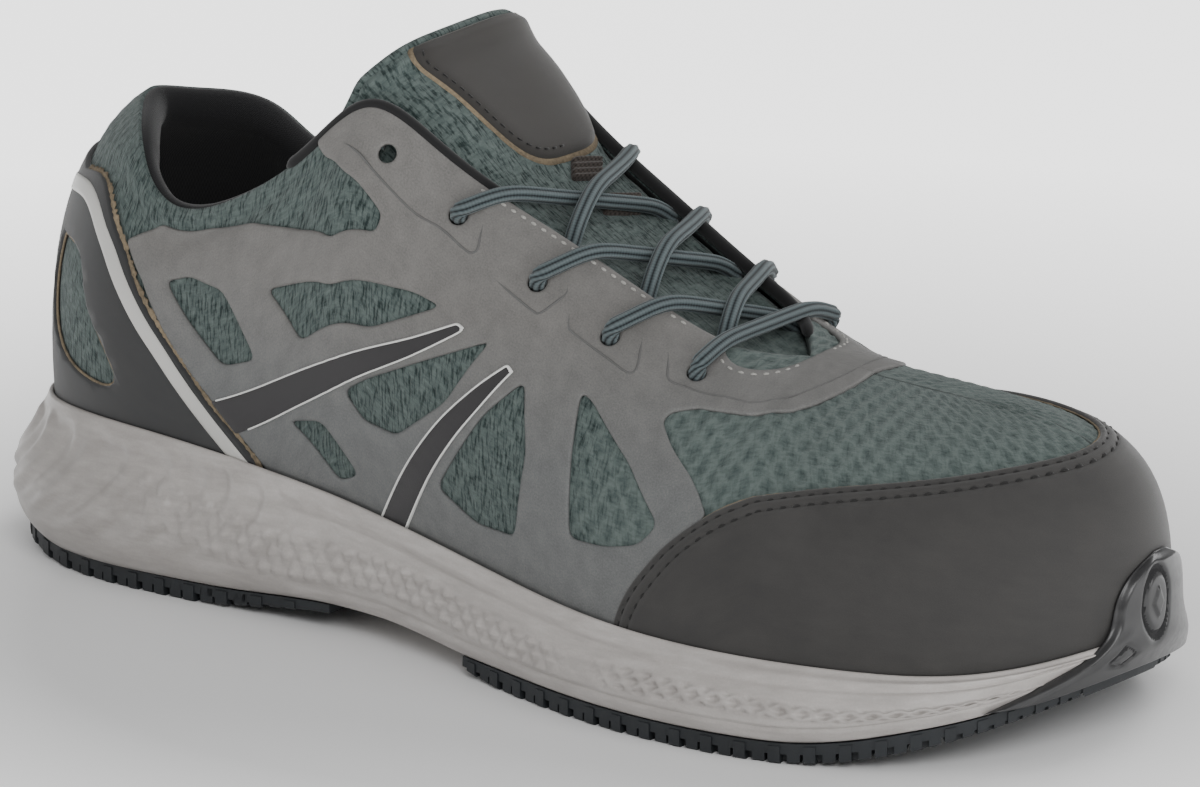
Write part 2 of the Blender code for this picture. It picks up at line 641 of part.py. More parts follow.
# rubber bumper up the front of the toe
def bumper():
    places = [0.915, 0.935, 0.955, 0.978, 1.0, 1.022, 1.045, 1.065, 1.085]
    outer, inner = [], []
    for place in places:
        side, a = (-1, place) if place <= 1 else (1, 2-place)
        at = np.array([a])
        xy = foot(side, at)[0]
        normal = outward(side, at)[0]
        share = xy[0]/LAST_LENGTH
        line = rib(side, a, np.linspace(0, 0.6, 81))
        near = 1-abs(place-1)/0.085
        top = rim_height(share)+BUMPER_RISE*(0.12+0.88*smooth(near*1.25))
        base = foam_bottom(xy[0]+normal[0]*flare(share, 2))
        rows = []
        for z, out, thick in (
                (base+0.3*MM, flare(share, 2)+GAP, 0.75), ((base+rim_height(share))/2, flare(share, 1)+GAP, 1.0),
                (rim_height(share)+0.4*MM, None, 1.15), ((rim_height(share)+top)/2, None, 1.1), (top, None, 0.6)):
            if out is None:
                p = np.array([np.interp(z, line[:, 2], line[:, i]) for i in range(2)])
                p = p+normal*(SEAT+RIM_LIP+GAP if z < rim_height(share)+1*MM else SEAT+0.15*MM)
            else:
                p = xy+normal*max(out, flare(share, 1)+GAP if z > base+1*MM else out)
            rows.append((p, z, thick))
        inner.append([(p[0], p[1], z) for p, z, _ in rows])
        outer.append([((p+normal*BUMPER_THICK*t)[0], (p+normal*BUMPER_THICK*t)[1], z) for p, z, t in rows])
    return grid_solid(np.array(outer), np.array(inner))


toe_bumper = make("toe_bumper", *bumper(), material("gloss_rubber", (0.05, 0.05, 0.052), 0.35))

# the upper, with its lace holes
knit = material("knit", (0.10, 0.135, 0.14), 0.9)
upper = make("upper", *thicken(SKIN_POINTS, SKIN_NORMALS, SKIN_TRIANGLES, -WALL, 0), knit)


def hole_tool():
    verts, faces, sides = [], [], 12
    for place, share in EYELETS:
        for side in (-1, 1):
            p, n = on_skin(*to_grid((place if side < 0 else -place, share)))
            n = n/np.linalg.norm(n)
            u = np.cross(n, (0.0, 0.0, 1.0))
            u = u/np.linalg.norm(u)
            w = np.cross(n, u)
            first = len(verts)
            for z in (-5*MM, 4*MM):
                for k in range(sides):
                    t = 2*math.pi*k/sides
                    verts.append(p+n*z+(u*math.cos(t)+w*math.sin(t))*EYELET_RADIUS)
            for k in range(sides):
                m = (k+1) % sides
                faces.append((first+k, first+m, first+sides+m, first+sides+k))
            faces.append(tuple(first+k for k in range(sides))[::-1])
            faces.append(tuple(first+sides+k for k in range(sides)))
    return make("lace_holes", verts, faces, None, CUTTERS)


holes = hole_tool()
boolean(upper, holes, "DIFFERENCE")


# overlays on the skin
def mirror(loop):
    return [(-p[0], p[1]) for p in loop][::-1]


cap_outline = CAP_EDGE[::-1]
points, normals, triangles = place_patch([patch_mesh(cap_outline, [])])
nubuck = material("nubuck", (0.035, 0.034, 0.035), 0.8)
toe_cap = make("toe_cap", *thicken(points, normals, triangles, GAP, GAP+PATCH), nubuck)

counter_outline = COUNTER_EDGE+mirror(COUNTER_EDGE)
points, normals, triangles = place_patch(
    [patch_mesh(counter_outline, [COUNTER_WINDOW, mirror(COUNTER_WINDOW)])])
heel_counter = make("heel_counter", *thicken(points, normals, triangles, GAP, GAP+PATCH), nubuck)

cage_loop = CAGE_FRONT+CAGE_BACK
film = material("film", (0.21, 0.205, 0.20), 0.6)
points, normals, triangles = place_patch(
    [patch_mesh(cage_loop, CAGE_WINDOWS), patch_mesh(mirror(cage_loop), [mirror(w) for w in CAGE_WINDOWS])])
cage = make("side_cage", *thicken(points, normals, triangles, GAP, GAP+FILM), film)
boolean(cage, holes, "DIFFERENCE")

points, normals, triangles = place_patch([patch_mesh(BLADE, [])])
blade = make("side_blade", *thicken(points, normals, triangles, 2*GAP+FILM, 2*GAP+FILM+0.5*MM), nubuck)


def band_outline():
    """Both edges of the pale band, from its centre line on the skin."""
    path = BAND_PATH+[(-p[0], p[1]) for p in BAND_PATH[-2::-1]]
    left, right = [], []
    for k, (place, share) in enumerate(path):
        before, after = path[max(k-1, 0)], path[min(k+1, len(path)-1)]
        d = offset_point(*after, 0)-offset_point(*before, 0)
        along = offset_point(place+0.01, share, 0)-offset_point(place-0.01, share, 0)
        up = offset_point(place, share+0.03, 0)-offset_point(place, share-0.03, 0)
        a, b = np.dot(d, along)/np.dot(along, along), np.dot(d, up)/np.dot(up, up)
        across = -b*np.dot(up, up)**0.5/np.dot(along, along)**0.5, a*np.dot(along, along)**0.5/np.dot(up, up)**0.5
        size = np.linalg.norm(along*across[0]+up*across[1])
        step = BAND_WIDTH/2/size
        shift = (across[0]*0.02*step, across[1]*0.06*step)
        left.append((place+shift[0], share+shift[1]))
        right.append((place-shift[0], share-shift[1]))
    return left+right[::-1]


points, normals, triangles = place_patch([patch_mesh(band_outline(), [])])
band = make("reflective_band", *thicken(points, normals, triangles, 2*GAP+PATCH, 2*GAP+PATCH+0.5*MM),
            material("reflective", (0.62, 0.61, 0.58), 0.45))


# the collar's padded lining
def lining():
    last = 0.315
    places = [p for p in COLUMNS if p < last]+[last]
    line = [-p for p in places[:0:-1]]+places
    shares = [0.42, 0.56, 0.70, 0.82, 0.92, 1.0]
    thick = [0.25, 0.45, 0.75, 1.0, 1.0, 0.85]
    outer, inner = [], []
    for place in line:
        fade = 1-0.45*float(smooth((abs(place)-0.25)/0.1))
        out_row, in_row = [], []
        for share, t in zip(shares, thick):
            out_row.append(offset_point(place, share, -(WALL+0.6*MM)))
            in_row.append(offset_point(place, share, -(WALL+0.6*MM+PAD_THICK*t*fade)))
        rise = out_row[-1]-out_row[-2]
        rise = rise/np.linalg.norm(rise)
        out_row.append(out_row[-1]+rise*ROLL_RISE+(in_row[-1]-out_row[-1])*0.25)
        in_row.append(in_row[-1]+rise*ROLL_RISE-(in_row[-1]-out_row[-2])*0.15)
        outer.append(out_row)
        inner.append(in_row)
    return grid_solid(np.array(outer), np.array(inner))


collar_lining = make("collar_lining", *lining(), material("lining", (0.012, 0.012, 0.013), 0.95))


# the throat: curves from the outer eyestay over to the inner one
def bridge(outer_place, inner_place, start, lift, steep, count):
    """Curve over the throat, evenly spaced, lifted off the skin; steep is how far it keeps the skin's climb."""
    shares = np.linspace(0, 1, 7)
    left = [offset_point(outer_place, start+(1-start)*t, lift) for t in shares]
    right = [offset_point(-inner_place, start+(1-start)*t, lift) for t in shares]
    a, b = left[-1], right[-1]
    span = np.linalg.norm(b-a)
    ta, tb = left[-1]-left[-2], right[-1]-right[-2]
    ta, tb = (v/np.linalg.norm(v)*np.array([1, 1, steep]) for v in (ta, tb))
    t = np.linspace(0, 1, 13)[1:-1, None]
    pa, pb = a+ta*span*0.34, b+tb*span*0.34
    arch = (1-t)**3*a+3*(1-t)**2*t*pa+3*(1-t)*t*t*pb+t**3*b
    path = np.array(left+list(arch)+right[::-1])
    length = np.concatenate([[0], np.cumsum(np.linalg.norm(np.diff(path, axis=0), axis=1))])
    want = np.linspace(0, length[-1], count)
    return np.stack([np.interp(want, length, path[:, i]) for i in range(3)], -1)


TONGUE_ROWS = [(0.36, 0.90), (0.40, 0.88), (0.44, 0.86), (0.48, 0.84), (0.52, 0.83), (0.56, 0.82),
               (0.60, 0.80), (0.635, 0.78), (0.66, 0.78)]


def tongue_grid():
    clear = -(WALL+1.0*MM)
    rows = []
    for a, s in TONGUE_ROWS:
        low = clear-1.6*MM*float(smooth((a-0.56)/0.1))
        rows.append(bridge(a, a, s, low, TONGUE_STEEP+(1-TONGUE_STEEP)*float(smooth((a-0.40)/0.2)), 11))
    head_row = rows[0]+np.array([-0.70, 0, 0.50])*TONGUE_LIFT
    rise = 1-np.abs(np.linspace(-1, 1, 11))**2.5
    head_row = head_row+rise[:, None]*np.array([-0.2, 0, 0.15])*TONGUE_LIFT
    middle = (head_row+rows[0])/2+rise[:, None]*np.array([0, 0, 0.1])*TONGUE_LIFT
    head_row[:, 1] *= TONGUE_NARROW
    middle[:, 1] *= TONGUE_NARROW
    return np.array([head_row, middle]+rows)


def grid_normals(grid):
    du = np.gradient(grid, axis=0)
    dv = np.gradient(grid, axis=1)
    n = np.cross(du, dv)
    n = n/np.linalg.norm(n, axis=-1, keepdims=True)
    return n if n[..., 2].mean() > 0 else -n


TONGUE = tongue_grid()
TONGUE_UP = grid_normals(TONGUE)
edge_thin = 1-0.55*np.abs(np.linspace(-1, 1, 11))**4
tongue = make("tongue", *grid_solid(TONGUE, TONGUE-TONGUE_UP*TONGUE_THICK*edge_thin[None, :, None]),
              material("tongue_knit", (0.10, 0.135, 0.14), 0.9))


def on_tongue(name, rows, cols, lift, thick, mat):
    """Patch lying on the tongue's facets between given rows and columns."""
    base = TONGUE[rows[0]:rows[1]+1, cols[0]:cols[1]+1]
    up = TONGUE_UP[rows[0]:rows[1]+1, cols[0]:cols[1]+1]
    return make(name, *grid_solid(base+up*(lift+thick), base+up*lift), mat)


tongue_label = on_tongue("tongue_label", (0, 4), (3, 8), GAP, 0.8*MM, material("label", (0.06, 0.056, 0.053), 0.8))
lace_loop = on_tongue("lace_loop", (5, 6), (5, 6), GAP, 0.8*MM, material("webbing", (0.045, 0.038, 0.034), 0.9))


# the lace, as a front bar and three crossings
def tube(path, radius, sides=6):
    path = np.array(path)
    tangent = np.gradient(path, axis=0)
    tangent = tangent/np.linalg.norm(tangent, axis=1, keepdims=True)
    verts, faces = [], []
    for p, t in zip(path, tangent):
        side = np.cross((0.0, 0.0, 1.0), t)
        side = side/np.linalg.norm(side)
        up = np.cross(t, side)
        for k in range(sides):
            w = 2*math.pi*k/sides
            verts.append(p+(side*math.cos(w)+up*math.sin(w))*radius)
    for i in range(len(path)-1):
        for k in range(sides):
            m = (k+1) % sides
            faces.append((i*sides+k, i*sides+m, (i+1)*sides+m, (i+1)*sides+k))
    faces.append(tuple(range(sides))[::-1])
    last = (len(path)-1)*sides
    faces.append(tuple(last+k for k in range(sides)))
    return verts, faces


LACE_LIFT = GAP+FILM+0.5*MM+LACE_RADIUS


def lace_path(outer, inner, start, over):
    """From a lace hole over the throat towards the other edge."""
    a, b = EYELETS[outer][0], EYELETS[inner][0]
    if outer < inner:
        b -= LACE_DIP
    if inner < outer:
        a -= LACE_DIP
    points = bridge(a, b, start, LACE_LIFT, LACE_STEEP, 15)
    points[:, 2] += over*np.sin(np.linspace(0, math.pi, 15))
    return points


cord = material("cord", (0.055, 0.075, 0.082), 0.85)
make("lace_bar", *tube(lace_path(4, 4, 0.87, 0.5*MM), LACE_RADIUS), cord)
for number in (1, 2, 3):
    a = lace_path(number, number+1, 0.90, 0.2*MM)[:13]
    b = lace_path(number+1, number, 0.90, 1.6*MM)[2:]
    first = make("lace_cross_%d" % number, *tube(a, LACE_RADIUS), cord)
    second = make("lace_over_%d" % number, *tube(b, LACE_RADIUS), None, CUTTERS)
    boolean(first, second, "UNION")

# the middle of the whole in plan becomes the origin
everything = np.array([v.co[:2] for c in (PARTS, CUTTERS) for obj in c.objects for v in obj.data.vertices])
MIDDLE = (everything.min(0)+everything.max(0))/2
for collection in (PARTS, CUTTERS):
    for obj in collection.objects:
        for v in obj.data.vertices:
            v.co.x -= MIDDLE[0]
            v.co.y -= MIDDLE[1]
        if collection is CUTTERS:
            obj.hide_render = True
            obj.display_type = "WIRE"
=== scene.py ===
import math

import bmesh
import bpy
import numpy as np
from mathutils import Matrix, Vector
from mathutils.bvhtree import BVHTree
from mathutils.geometry import delaunay_2d_cdt


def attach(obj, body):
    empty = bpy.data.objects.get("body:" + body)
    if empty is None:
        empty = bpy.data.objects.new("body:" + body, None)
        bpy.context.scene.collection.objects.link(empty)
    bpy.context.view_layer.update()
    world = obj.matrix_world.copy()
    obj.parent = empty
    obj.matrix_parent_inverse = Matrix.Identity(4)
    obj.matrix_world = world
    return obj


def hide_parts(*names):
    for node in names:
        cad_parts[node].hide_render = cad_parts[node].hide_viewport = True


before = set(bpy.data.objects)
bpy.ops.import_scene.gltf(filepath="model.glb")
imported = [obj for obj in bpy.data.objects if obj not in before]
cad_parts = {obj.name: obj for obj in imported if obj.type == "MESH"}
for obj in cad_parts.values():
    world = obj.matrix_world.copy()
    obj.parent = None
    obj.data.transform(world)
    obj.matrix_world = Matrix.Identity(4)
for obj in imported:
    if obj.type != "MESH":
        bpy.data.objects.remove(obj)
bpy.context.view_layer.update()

MM = 0.001

# sizes of the last, as in the solids' source
LAST_LENGTH = 280*MM
BALL_WIDTH = 98*MM
HEEL_WIDTH = 70*MM
COLLAR_RISE = 76*MM
INSTEP_RISE = 97*MM
TOE_RISE = 50*MM
HEEL_STACK = 24*MM
BALL_STACK = 13*MM
TOE_LIFT = 7*MM

# sizes of the sole
RUBBER = 4.8*MM
HEEL_FLARE = 11.5*MM
BALL_FLARE = 8*MM
RIM_LIP = 1.4*MM
TOE_TRIM = 3.2*MM
HEEL_BEVEL = 4*MM
TOE_SPRING = 17*MM
SPRING_START, SPRING_RUN = 0.81, 0.214
BEVEL_START, BEVEL_RUN = 0.072, 0.104
ARCH_LIFT = 4*MM
LUG_DEPTH = 2.1*MM
LUG_REACH = 13*MM
BUMPER_RISE = 23.5*MM
BUMPER_THICK = 2.6*MM

# sizes of the upper
WALL = 2.2*MM
GAP = 0.35*MM
FILM = 0.6*MM
BLADE_THICK = 0.25*MM
PATCH = 0.95*MM
BAND_WIDTH = 3.8*MM
TONGUE_THICK = 4.5*MM
ROLL_RISE = 3.6*MM
PAD_THICK = 6.5*MM
INSOLE_THICK = 4*MM
LACE_RADIUS = 1.9*MM
EYELET_RADIUS = 2.1*MM
LACE_DIP = 0.003
LACE_LEAD = 0.026
LACE_RIBS = 7
SEAT = 1.5*MM

# lowest faces of the film and the nubuck over the skin
FILM_BASE = 0.25*MM
NUBUCK_BASE = 0.45*MM

# the middle of the whole in plan, from the heel of the last
MIDDLE = np.array([137.7*MM, -1.9*MM, 0])

# knot, along, outer, inner, head along, head outer, head inner, rise, lean, low pull, high pull, head slope
RIBS = [
    (0.000, 0.000, 0.00, 0.00, 0.052, 0.00, 0.00, 1.04*COLLAR_RISE, 6, 0.33, 0.34, 32),
    (0.075, 0.022, 0.62, 0.62, 0.070, 0.29, 0.29, 1.02*COLLAR_RISE, 6, 0.33, 0.34, 38),
    (0.160, 0.105, 0.99, 0.97, 0.112, 0.68, 0.70, 0.95*COLLAR_RISE, 6, 0.33, 0.34, 54),
    (0.250, 0.210, 1.03, 0.95, 0.190, 0.85, 0.84, 0.83*COLLAR_RISE, 8, 0.36, 0.32, 66),
    (0.310, 0.300, 0.99, 0.82, 0.295, 0.80, 0.74, 0.83*INSTEP_RISE, 8, 0.36, 0.34, 66),
    (0.360, 0.370, 0.97, 0.75, 0.356, 0.66, 0.68, 0.98*INSTEP_RISE, 8, 0.36, 0.34, 60),
    (0.400, 0.425, 0.98, 0.74, 0.410, 0.56, 0.62, 0.92*INSTEP_RISE, 8, 0.36, 0.34, 52),
    (0.480, 0.530, 1.02, 0.79, 0.510, 0.40, 0.50, 0.80*INSTEP_RISE, 8, 0.36, 0.34, 40),
    (0.560, 0.630, 1.06, 0.88, 0.600, 0.30, 0.42, 0.70*INSTEP_RISE, 8, 0.36, 0.34, 28),
    (0.640, 0.725, 1.05, 0.95, 0.668, 0.16, 0.32, 0.62*INSTEP_RISE, 7, 0.37, 0.36, 14),
    (0.700, 0.795, 0.985, 0.96, 0.706, -0.08, 0.08, 1.15*TOE_RISE, 6, 0.40, 0.40, 0),
    (0.780, 0.880, 0.80, 0.89, 0.768, -0.12, 0.12, 1.11*TOE_RISE, 6, 0.46, 0.44, 0),
    (0.880, 0.960, 0.43, 0.65, 0.828, -0.15, 0.15, 1.08*TOE_RISE, 6, 0.54, 0.50, 0),
    (1.000, 1.000, -0.16, 0.16, 0.862, -0.16, 0.16, 1.06*TOE_RISE, 5, 0.60, 0.58, 0),
]
KNOT, ALONG, OUTER, INNER, HEAD_ALONG, HEAD_OUTER, HEAD_INNER, RISE, LEAN, LOW, HIGH, SLOPE = range(12)
THROAT_END = 0.70

# share from which a point counts as lying on the ridge of the vamp
RIDGE = 0.999

# height of the foam rim over the ground, by share of the last's length
RIM = [(0, 35), (0.10, 37), (0.27, 34.5), (0.40, 31), (0.52, 27), (0.66, 22.5), (0.86, 20), (0.97, 21.5),
       (1.0, 24)]

# share of length, bulge, edge, ground
FLARE = [
    (0.00, 1.00*HEEL_FLARE, 0.80*HEEL_FLARE, 0.76*HEEL_FLARE),
    (0.10, 0.96*HEEL_FLARE, 0.70*HEEL_FLARE, 0.60*HEEL_FLARE),
    (0.25, 0.61*HEEL_FLARE, 0.43*HEEL_FLARE, 0.40*HEEL_FLARE),
    (0.40, 0.50*BALL_FLARE, 0.25*BALL_FLARE, 0.22*BALL_FLARE),
    (0.60, 0.62*BALL_FLARE, 0.62*BALL_FLARE, 0.60*BALL_FLARE),
    (0.75, 1.00*BALL_FLARE, 1.00*BALL_FLARE, 0.98*BALL_FLARE),
    (0.90, 1.00*BALL_FLARE, 1.00*BALL_FLARE, 0.95*BALL_FLARE),
    (1.00, 0.50*BALL_FLARE, 0.46*BALL_FLARE, 0.20*BALL_FLARE),
]

# outlines as (place along the side, share up the rib); past 1 is the inner side, below 0 too
COUNTER_EDGE = [(0.297, 0.0), (0.295, 0.115), (0.281, 0.22), (0.266, 0.31), (0.2455, 0.465), (0.226, 0.575),
                (0.2055, 0.66), (0.187, 0.73), (0.1525, 0.795), (0.118, 0.815), (0.08, 0.775)]
COUNTER_WINDOW = [(0.085, 0.60), (0.125, 0.60), (0.145, 0.48), (0.18, 0.335), (0.165, 0.27),
                  (0.12, 0.28), (0.09, 0.36), (0.08, 0.48)]
BAND_PATH = [(0.290, 0.10), (0.2808, 0.15), (0.269, 0.225), (0.2567, 0.307), (0.243, 0.40), (0.2283, 0.492),
             (0.2125, 0.555), (0.195, 0.615), (0.175, 0.67), (0.155, 0.712), (0.135, 0.745), (0.112, 0.755),
             (0.085, 0.735), (0.05, 0.69), (0.0, 0.65)]
CAP_EDGE = [(0.589, 0.0), (0.589, 0.05), (0.591, 0.105), (0.599, 0.18), (0.612, 0.255), (0.633, 0.345),
            (0.659, 0.41), (0.69, 0.455), (0.73, 0.489), (0.7775, 0.52), (0.8475, 0.557),
            (0.9217, 0.598), (0.965, 0.618), (1.0, 0.635), (1.05, 0.655), (1.10, 0.675), (1.15, 0.69),
            (1.20, 0.675), (1.25, 0.63), (1.29, 0.555), (1.325, 0.46), (1.36, 0.36), (1.382, 0.24),
            (1.396, 0.12), (1.398, 0.05), (1.398, 0.0)]
CAGE_FRONT = [(0.594, 0.0), (0.594, 0.06), (0.596, 0.11), (0.604, 0.19), (0.617, 0.265), (0.638, 0.345),
              (0.660, 0.415), (0.652, 0.48), (0.643, 0.535), (0.624, 0.615), (0.612, 0.68),
              (0.617, 0.715), (0.636, 0.738), (0.66, 0.717), (0.6833, 0.703), (0.7083, 0.722),
              (0.728, 0.778), (0.7442, 0.843), (0.757, 0.91), (0.766, 1.0), (0.735, 1.0), (0.7005, 1.0),
              (0.697, 0.965), (0.6915, 0.925), (0.6833, 0.895), (0.67, 0.882), (0.655, 0.893),
              (0.6433, 0.915), (0.632, 0.95), (0.622, 1.0)]
CAGE_BACK = [(0.32, 1.0), (0.329, 0.93), (0.352, 0.85), (0.385, 0.79), (0.383, 0.745), (0.35, 0.70),
             (0.322, 0.765), (0.287, 0.88), (0.26, 0.925), (0.222, 0.92), (0.183, 0.765), (0.209, 0.70),
             (0.231, 0.565), (0.248, 0.45), (0.266, 0.33), (0.283, 0.22), (0.30, 0.115), (0.30, 0.05)]
CAGE_WINDOWS = [
    [(0.233, 0.74), (0.252, 0.765), (0.273, 0.70), (0.295, 0.46), (0.273, 0.455)],
    [(0.301, 0.655), (0.354, 0.59), (0.414, 0.68), (0.434, 0.685), (0.386, 0.535), (0.328, 0.475)],
    [(0.363, 0.355), (0.423, 0.53), (0.474, 0.67), (0.445, 0.47), (0.406, 0.325), (0.378, 0.31)],
    [(0.317, 0.275), (0.342, 0.275), (0.372, 0.175), (0.354, 0.14)],
    [(0.504, 0.62), (0.513, 0.45), (0.507, 0.23), (0.472, 0.215), (0.439, 0.255), (0.476, 0.485)],
    [(0.546, 0.665), (0.556, 0.655), (0.595, 0.535), (0.624, 0.39), (0.61, 0.33), (0.582, 0.30),
     (0.553, 0.29)],
]
BLADE = [(0.2650, 0.338), (0.3083, 0.39), (0.36, 0.432), (0.4083, 0.552), (0.4483, 0.668), (0.4525, 0.665),
         (0.4475, 0.638), (0.41, 0.51), (0.3617, 0.37), (0.315, 0.30), (0.28, 0.235)]
LOZENGE = [(0.490, 0.635), (0.465, 0.527), (0.44, 0.41), (0.4125, 0.255), (0.385, 0.07), (0.405, 0.07),
           (0.4325, 0.263), (0.4533, 0.388), (0.4742, 0.503), (0.4942, 0.625)]
EYELETS = [(0.378, 0.915), (0.427, 0.90), (0.49, 0.86), (0.55, 0.835), (0.622, 0.85)]

# rows of lugs: first and last place along the side, number of lugs
HEEL_LUGS = (0.09, 0.335, 11)
FORE_LUGS = (0.465, 0.94, 21)

# outline of a lug's outer edge: shares along it, and how far in it lies there
LUG_STEPS = np.array([0, 0.38, 0.38, 0.60, 0.60, 1.0])
LUG_NOTCH = np.array([0, 0, 1.9, 1.9, 0.3, 0.3])*MM

# first and last places of the bars across the middle of each pad
HEEL_BARS = [(0.14, 0.19), (0.205, 0.25), (0.265, 0.315)]
FORE_BARS = [(0.485, 0.53), (0.55, 0.595), (0.615, 0.66), (0.68, 0.725), (0.745, 0.79), (0.81, 0.86)]

# soft creases: place, share, turn in degrees, half length, half width, depth
CREASES = [
    (0.335, 0.90, 60, 22*MM, 4.0*MM, 0.7*MM),
    (0.250, 0.90, 12, 26*MM, 3.5*MM, 0.8*MM),
    (0.215, 0.82, 40, 18*MM, 3.5*MM, 0.5*MM),
    (0.660, 0.56, 70, 20*MM, 4.0*MM, 0.5*MM),
    (0.720, 0.62, 75, 24*MM, 4.5*MM, 0.6*MM),
    (0.400, 0.40, 35, 30*MM, 6.0*MM, 0.5*MM),
    (0.520, 0.52, 80, 24*MM, 6.0*MM, 0.4*MM),
    (0.130, 0.84, 15, 24*MM, 4.0*MM, 0.7*MM),
    (-0.250, 0.88, 10, 26*MM, 3.5*MM, 0.8*MM),
    (-0.340, 0.55, 40, 32*MM, 6.0*MM, 0.6*MM),
    (-0.480, 0.45, 70, 26*MM, 6.0*MM, 0.5*MM),
    (-0.680, 0.60, 75, 26*MM, 4.5*MM, 0.6*MM),
    (-0.130, 0.82, -12, 22*MM, 4.0*MM, 0.6*MM),
]


# the last, worked out as in the solids' source
def clamp(t):
    return np.clip(t, 0, 1)


def smooth(t):
    t = clamp(t)
    return t*t*(3-2*t)


def unit(vectors):
    return vectors/np.linalg.norm(vectors, axis=-1, keepdims=True)


def run_lengths(path):
    """Length from the start of a path to each of its points."""
    return np.concatenate([[0], np.cumsum(np.linalg.norm(np.diff(path, axis=0), axis=1))])


def spline(knots, values, at):
    """Natural cubic through the values at the knots."""
    k, v, at = np.asarray(knots, float), np.asarray(values, float), np.asarray(at, float)
    n, h = len(k), np.diff(k)
    m, r = np.zeros((n, n)), np.zeros(n)
    m[0, 0] = m[-1, -1] = 1
    d = np.diff(v)/h
    for i in range(1, n-1):
        m[i, i-1], m[i, i], m[i, i+1] = h[i-1], 2*(h[i-1]+h[i]), h[i]
        r[i] = 6*(d[i]-d[i-1])
    c = np.linalg.solve(m, r)
    i = np.clip(np.searchsorted(k, at, side="right")-1, 0, n-2)
    t, s = at-k[i], h[i]
    return (v[i]*(s-t)+v[i+1]*t)/s+((s-t)**3/s-(s-t)*s)*c[i]/6+(t**3/s-t*s)*c[i+1]/6


def column(index):
    return np.array([row[index] for row in RIBS], float)


KNOTS = column(KNOT)


def on_side(outer, inner, place, side, odd):
    """Value along one side, from a spline that runs on into the other side at heel and toe."""
    own, other = (outer, inner) if side < 0 else (inner, outer)
    knots = np.concatenate([-KNOTS[3:0:-1], KNOTS, 2-KNOTS[-2:-5:-1]])
    sign = -1 if odd else 1
    values = np.concatenate([sign*other[3:0:-1], own, sign*other[-2:-5:-1]])
    return spline(knots, values, place)


def half_width(share):
    """Half the last's width, before the ribs' own factors."""
    return (HEEL_WIDTH+(BALL_WIDTH-HEEL_WIDTH)*smooth((share-0.15)/0.57))/2


def floor_height(share):
    """Height of the footbed over the floor."""
    front = BALL_STACK+TOE_LIFT*clamp((share-0.78)/0.22)**2
    return HEEL_STACK+(front-HEEL_STACK)*smooth((share-0.22)/0.48)


def foot_side(side, place):
    share = on_side(column(ALONG), column(ALONG), place, side, False)
    w = half_width(column(ALONG))
    y = side*on_side(column(OUTER)*w, column(INNER)*w, place, side, True)
    return np.stack([share*LAST_LENGTH, y], -1)


def outward_side(side, place):
    d = foot_side(side, place+1e-4)-foot_side(side, place-1e-4)
    return unit(np.stack([-d[..., 1]*side, d[..., 0]*side], -1))


def wrap(place):
    """Signed place: 0 to 1 on the outer side, 0 to -1 on the inner side."""
    return (np.asarray(place, float)+1) % 2-1


def both_sides(function, place):
    place = wrap(place)
    outer, inner = function(-1, np.abs(place)), function(1, np.abs(place))
    return np.where((place >= 0)[..., None], outer, inner)


def foot(place):
    return both_sides(foot_side, place)


def outward(place):
    return both_sides(outward_side, place)


def head_side(side, place):
    w = half_width(column(ALONG))
    share = on_side(column(HEAD_ALONG), column(HEAD_ALONG), place, side, False)
    y = side*on_side(column(HEAD_OUTER)*w, column(HEAD_INNER)*w, place, side, True)
    rise = on_side(column(RISE), column(RISE), place, side, False)
    return np.stack([share*LAST_LENGTH, y, floor_height(share)+rise], -1)


def head(side, place):
    """Collar, throat edge, then the ridge of the vamp, where both sides are one line."""
    blend = 0.5*smooth((place-(THROAT_END-0.02))/0.02)[..., None]
    return head_side(side, place)*(1-blend)+head_side(-side, place)*blend


def rib_lines(side, place, shares):
    """Points up many ribs of the last, at even shares of their lengths."""
    xy = foot_side(side, place)
    start = np.column_stack([xy, floor_height(xy[:, 0]/LAST_LENGTH)])
    end = head(side, place)
    normal = outward_side(side, place)
    chord = np.linalg.norm(end-start, axis=1)
    lean, low_pull, high_pull, slope = (on_side(column(i), column(i), place, side, False)
                                        for i in (LEAN, LOW, HIGH, SLOPE))
    lean, slope = np.radians(lean), np.radians(slope)
    before, after = head(side, np.maximum(place-0.03, 0)), head(side, np.minimum(place+0.03, 1))
    ridge = np.arctan(-normal[:, 0]*(after[:, 2]-before[:, 2])/np.maximum(after[:, 0]-before[:, 0], 1*MM))
    mix = smooth((place-(THROAT_END-0.08))/0.08)
    slope = slope*(1-mix)+ridge*mix
    up = np.stack([normal[:, 0]*np.sin(lean), normal[:, 1]*np.sin(lean), np.cos(lean)], -1)
    over = np.stack([-normal[:, 0]*np.cos(slope), -normal[:, 1]*np.cos(slope), np.sin(slope)], -1)
    low = start+(low_pull*chord)[:, None]*up
    high = end-(high_pull*chord)[:, None]*over
    t = np.linspace(0, 1, 161)[None, :, None]
    a, b, c, d = (p[:, None, :] for p in (start, low, high, end))
    curve = (1-t)**3*a+3*(1-t)**2*t*b+3*(1-t)*t*t*c+t**3*d
    step = np.linalg.norm(np.diff(curve, axis=1), axis=2)
    length = np.concatenate([np.zeros((len(place), 1)), np.cumsum(step, axis=1)], axis=1)
    out = np.empty((len(place), len(shares), 3))
    for i in range(len(place)):
        for k in range(3):
            out[i, :, k] = np.interp(shares*length[i, -1], length[i], curve[i, :, k])
    return out, length[:, -1]


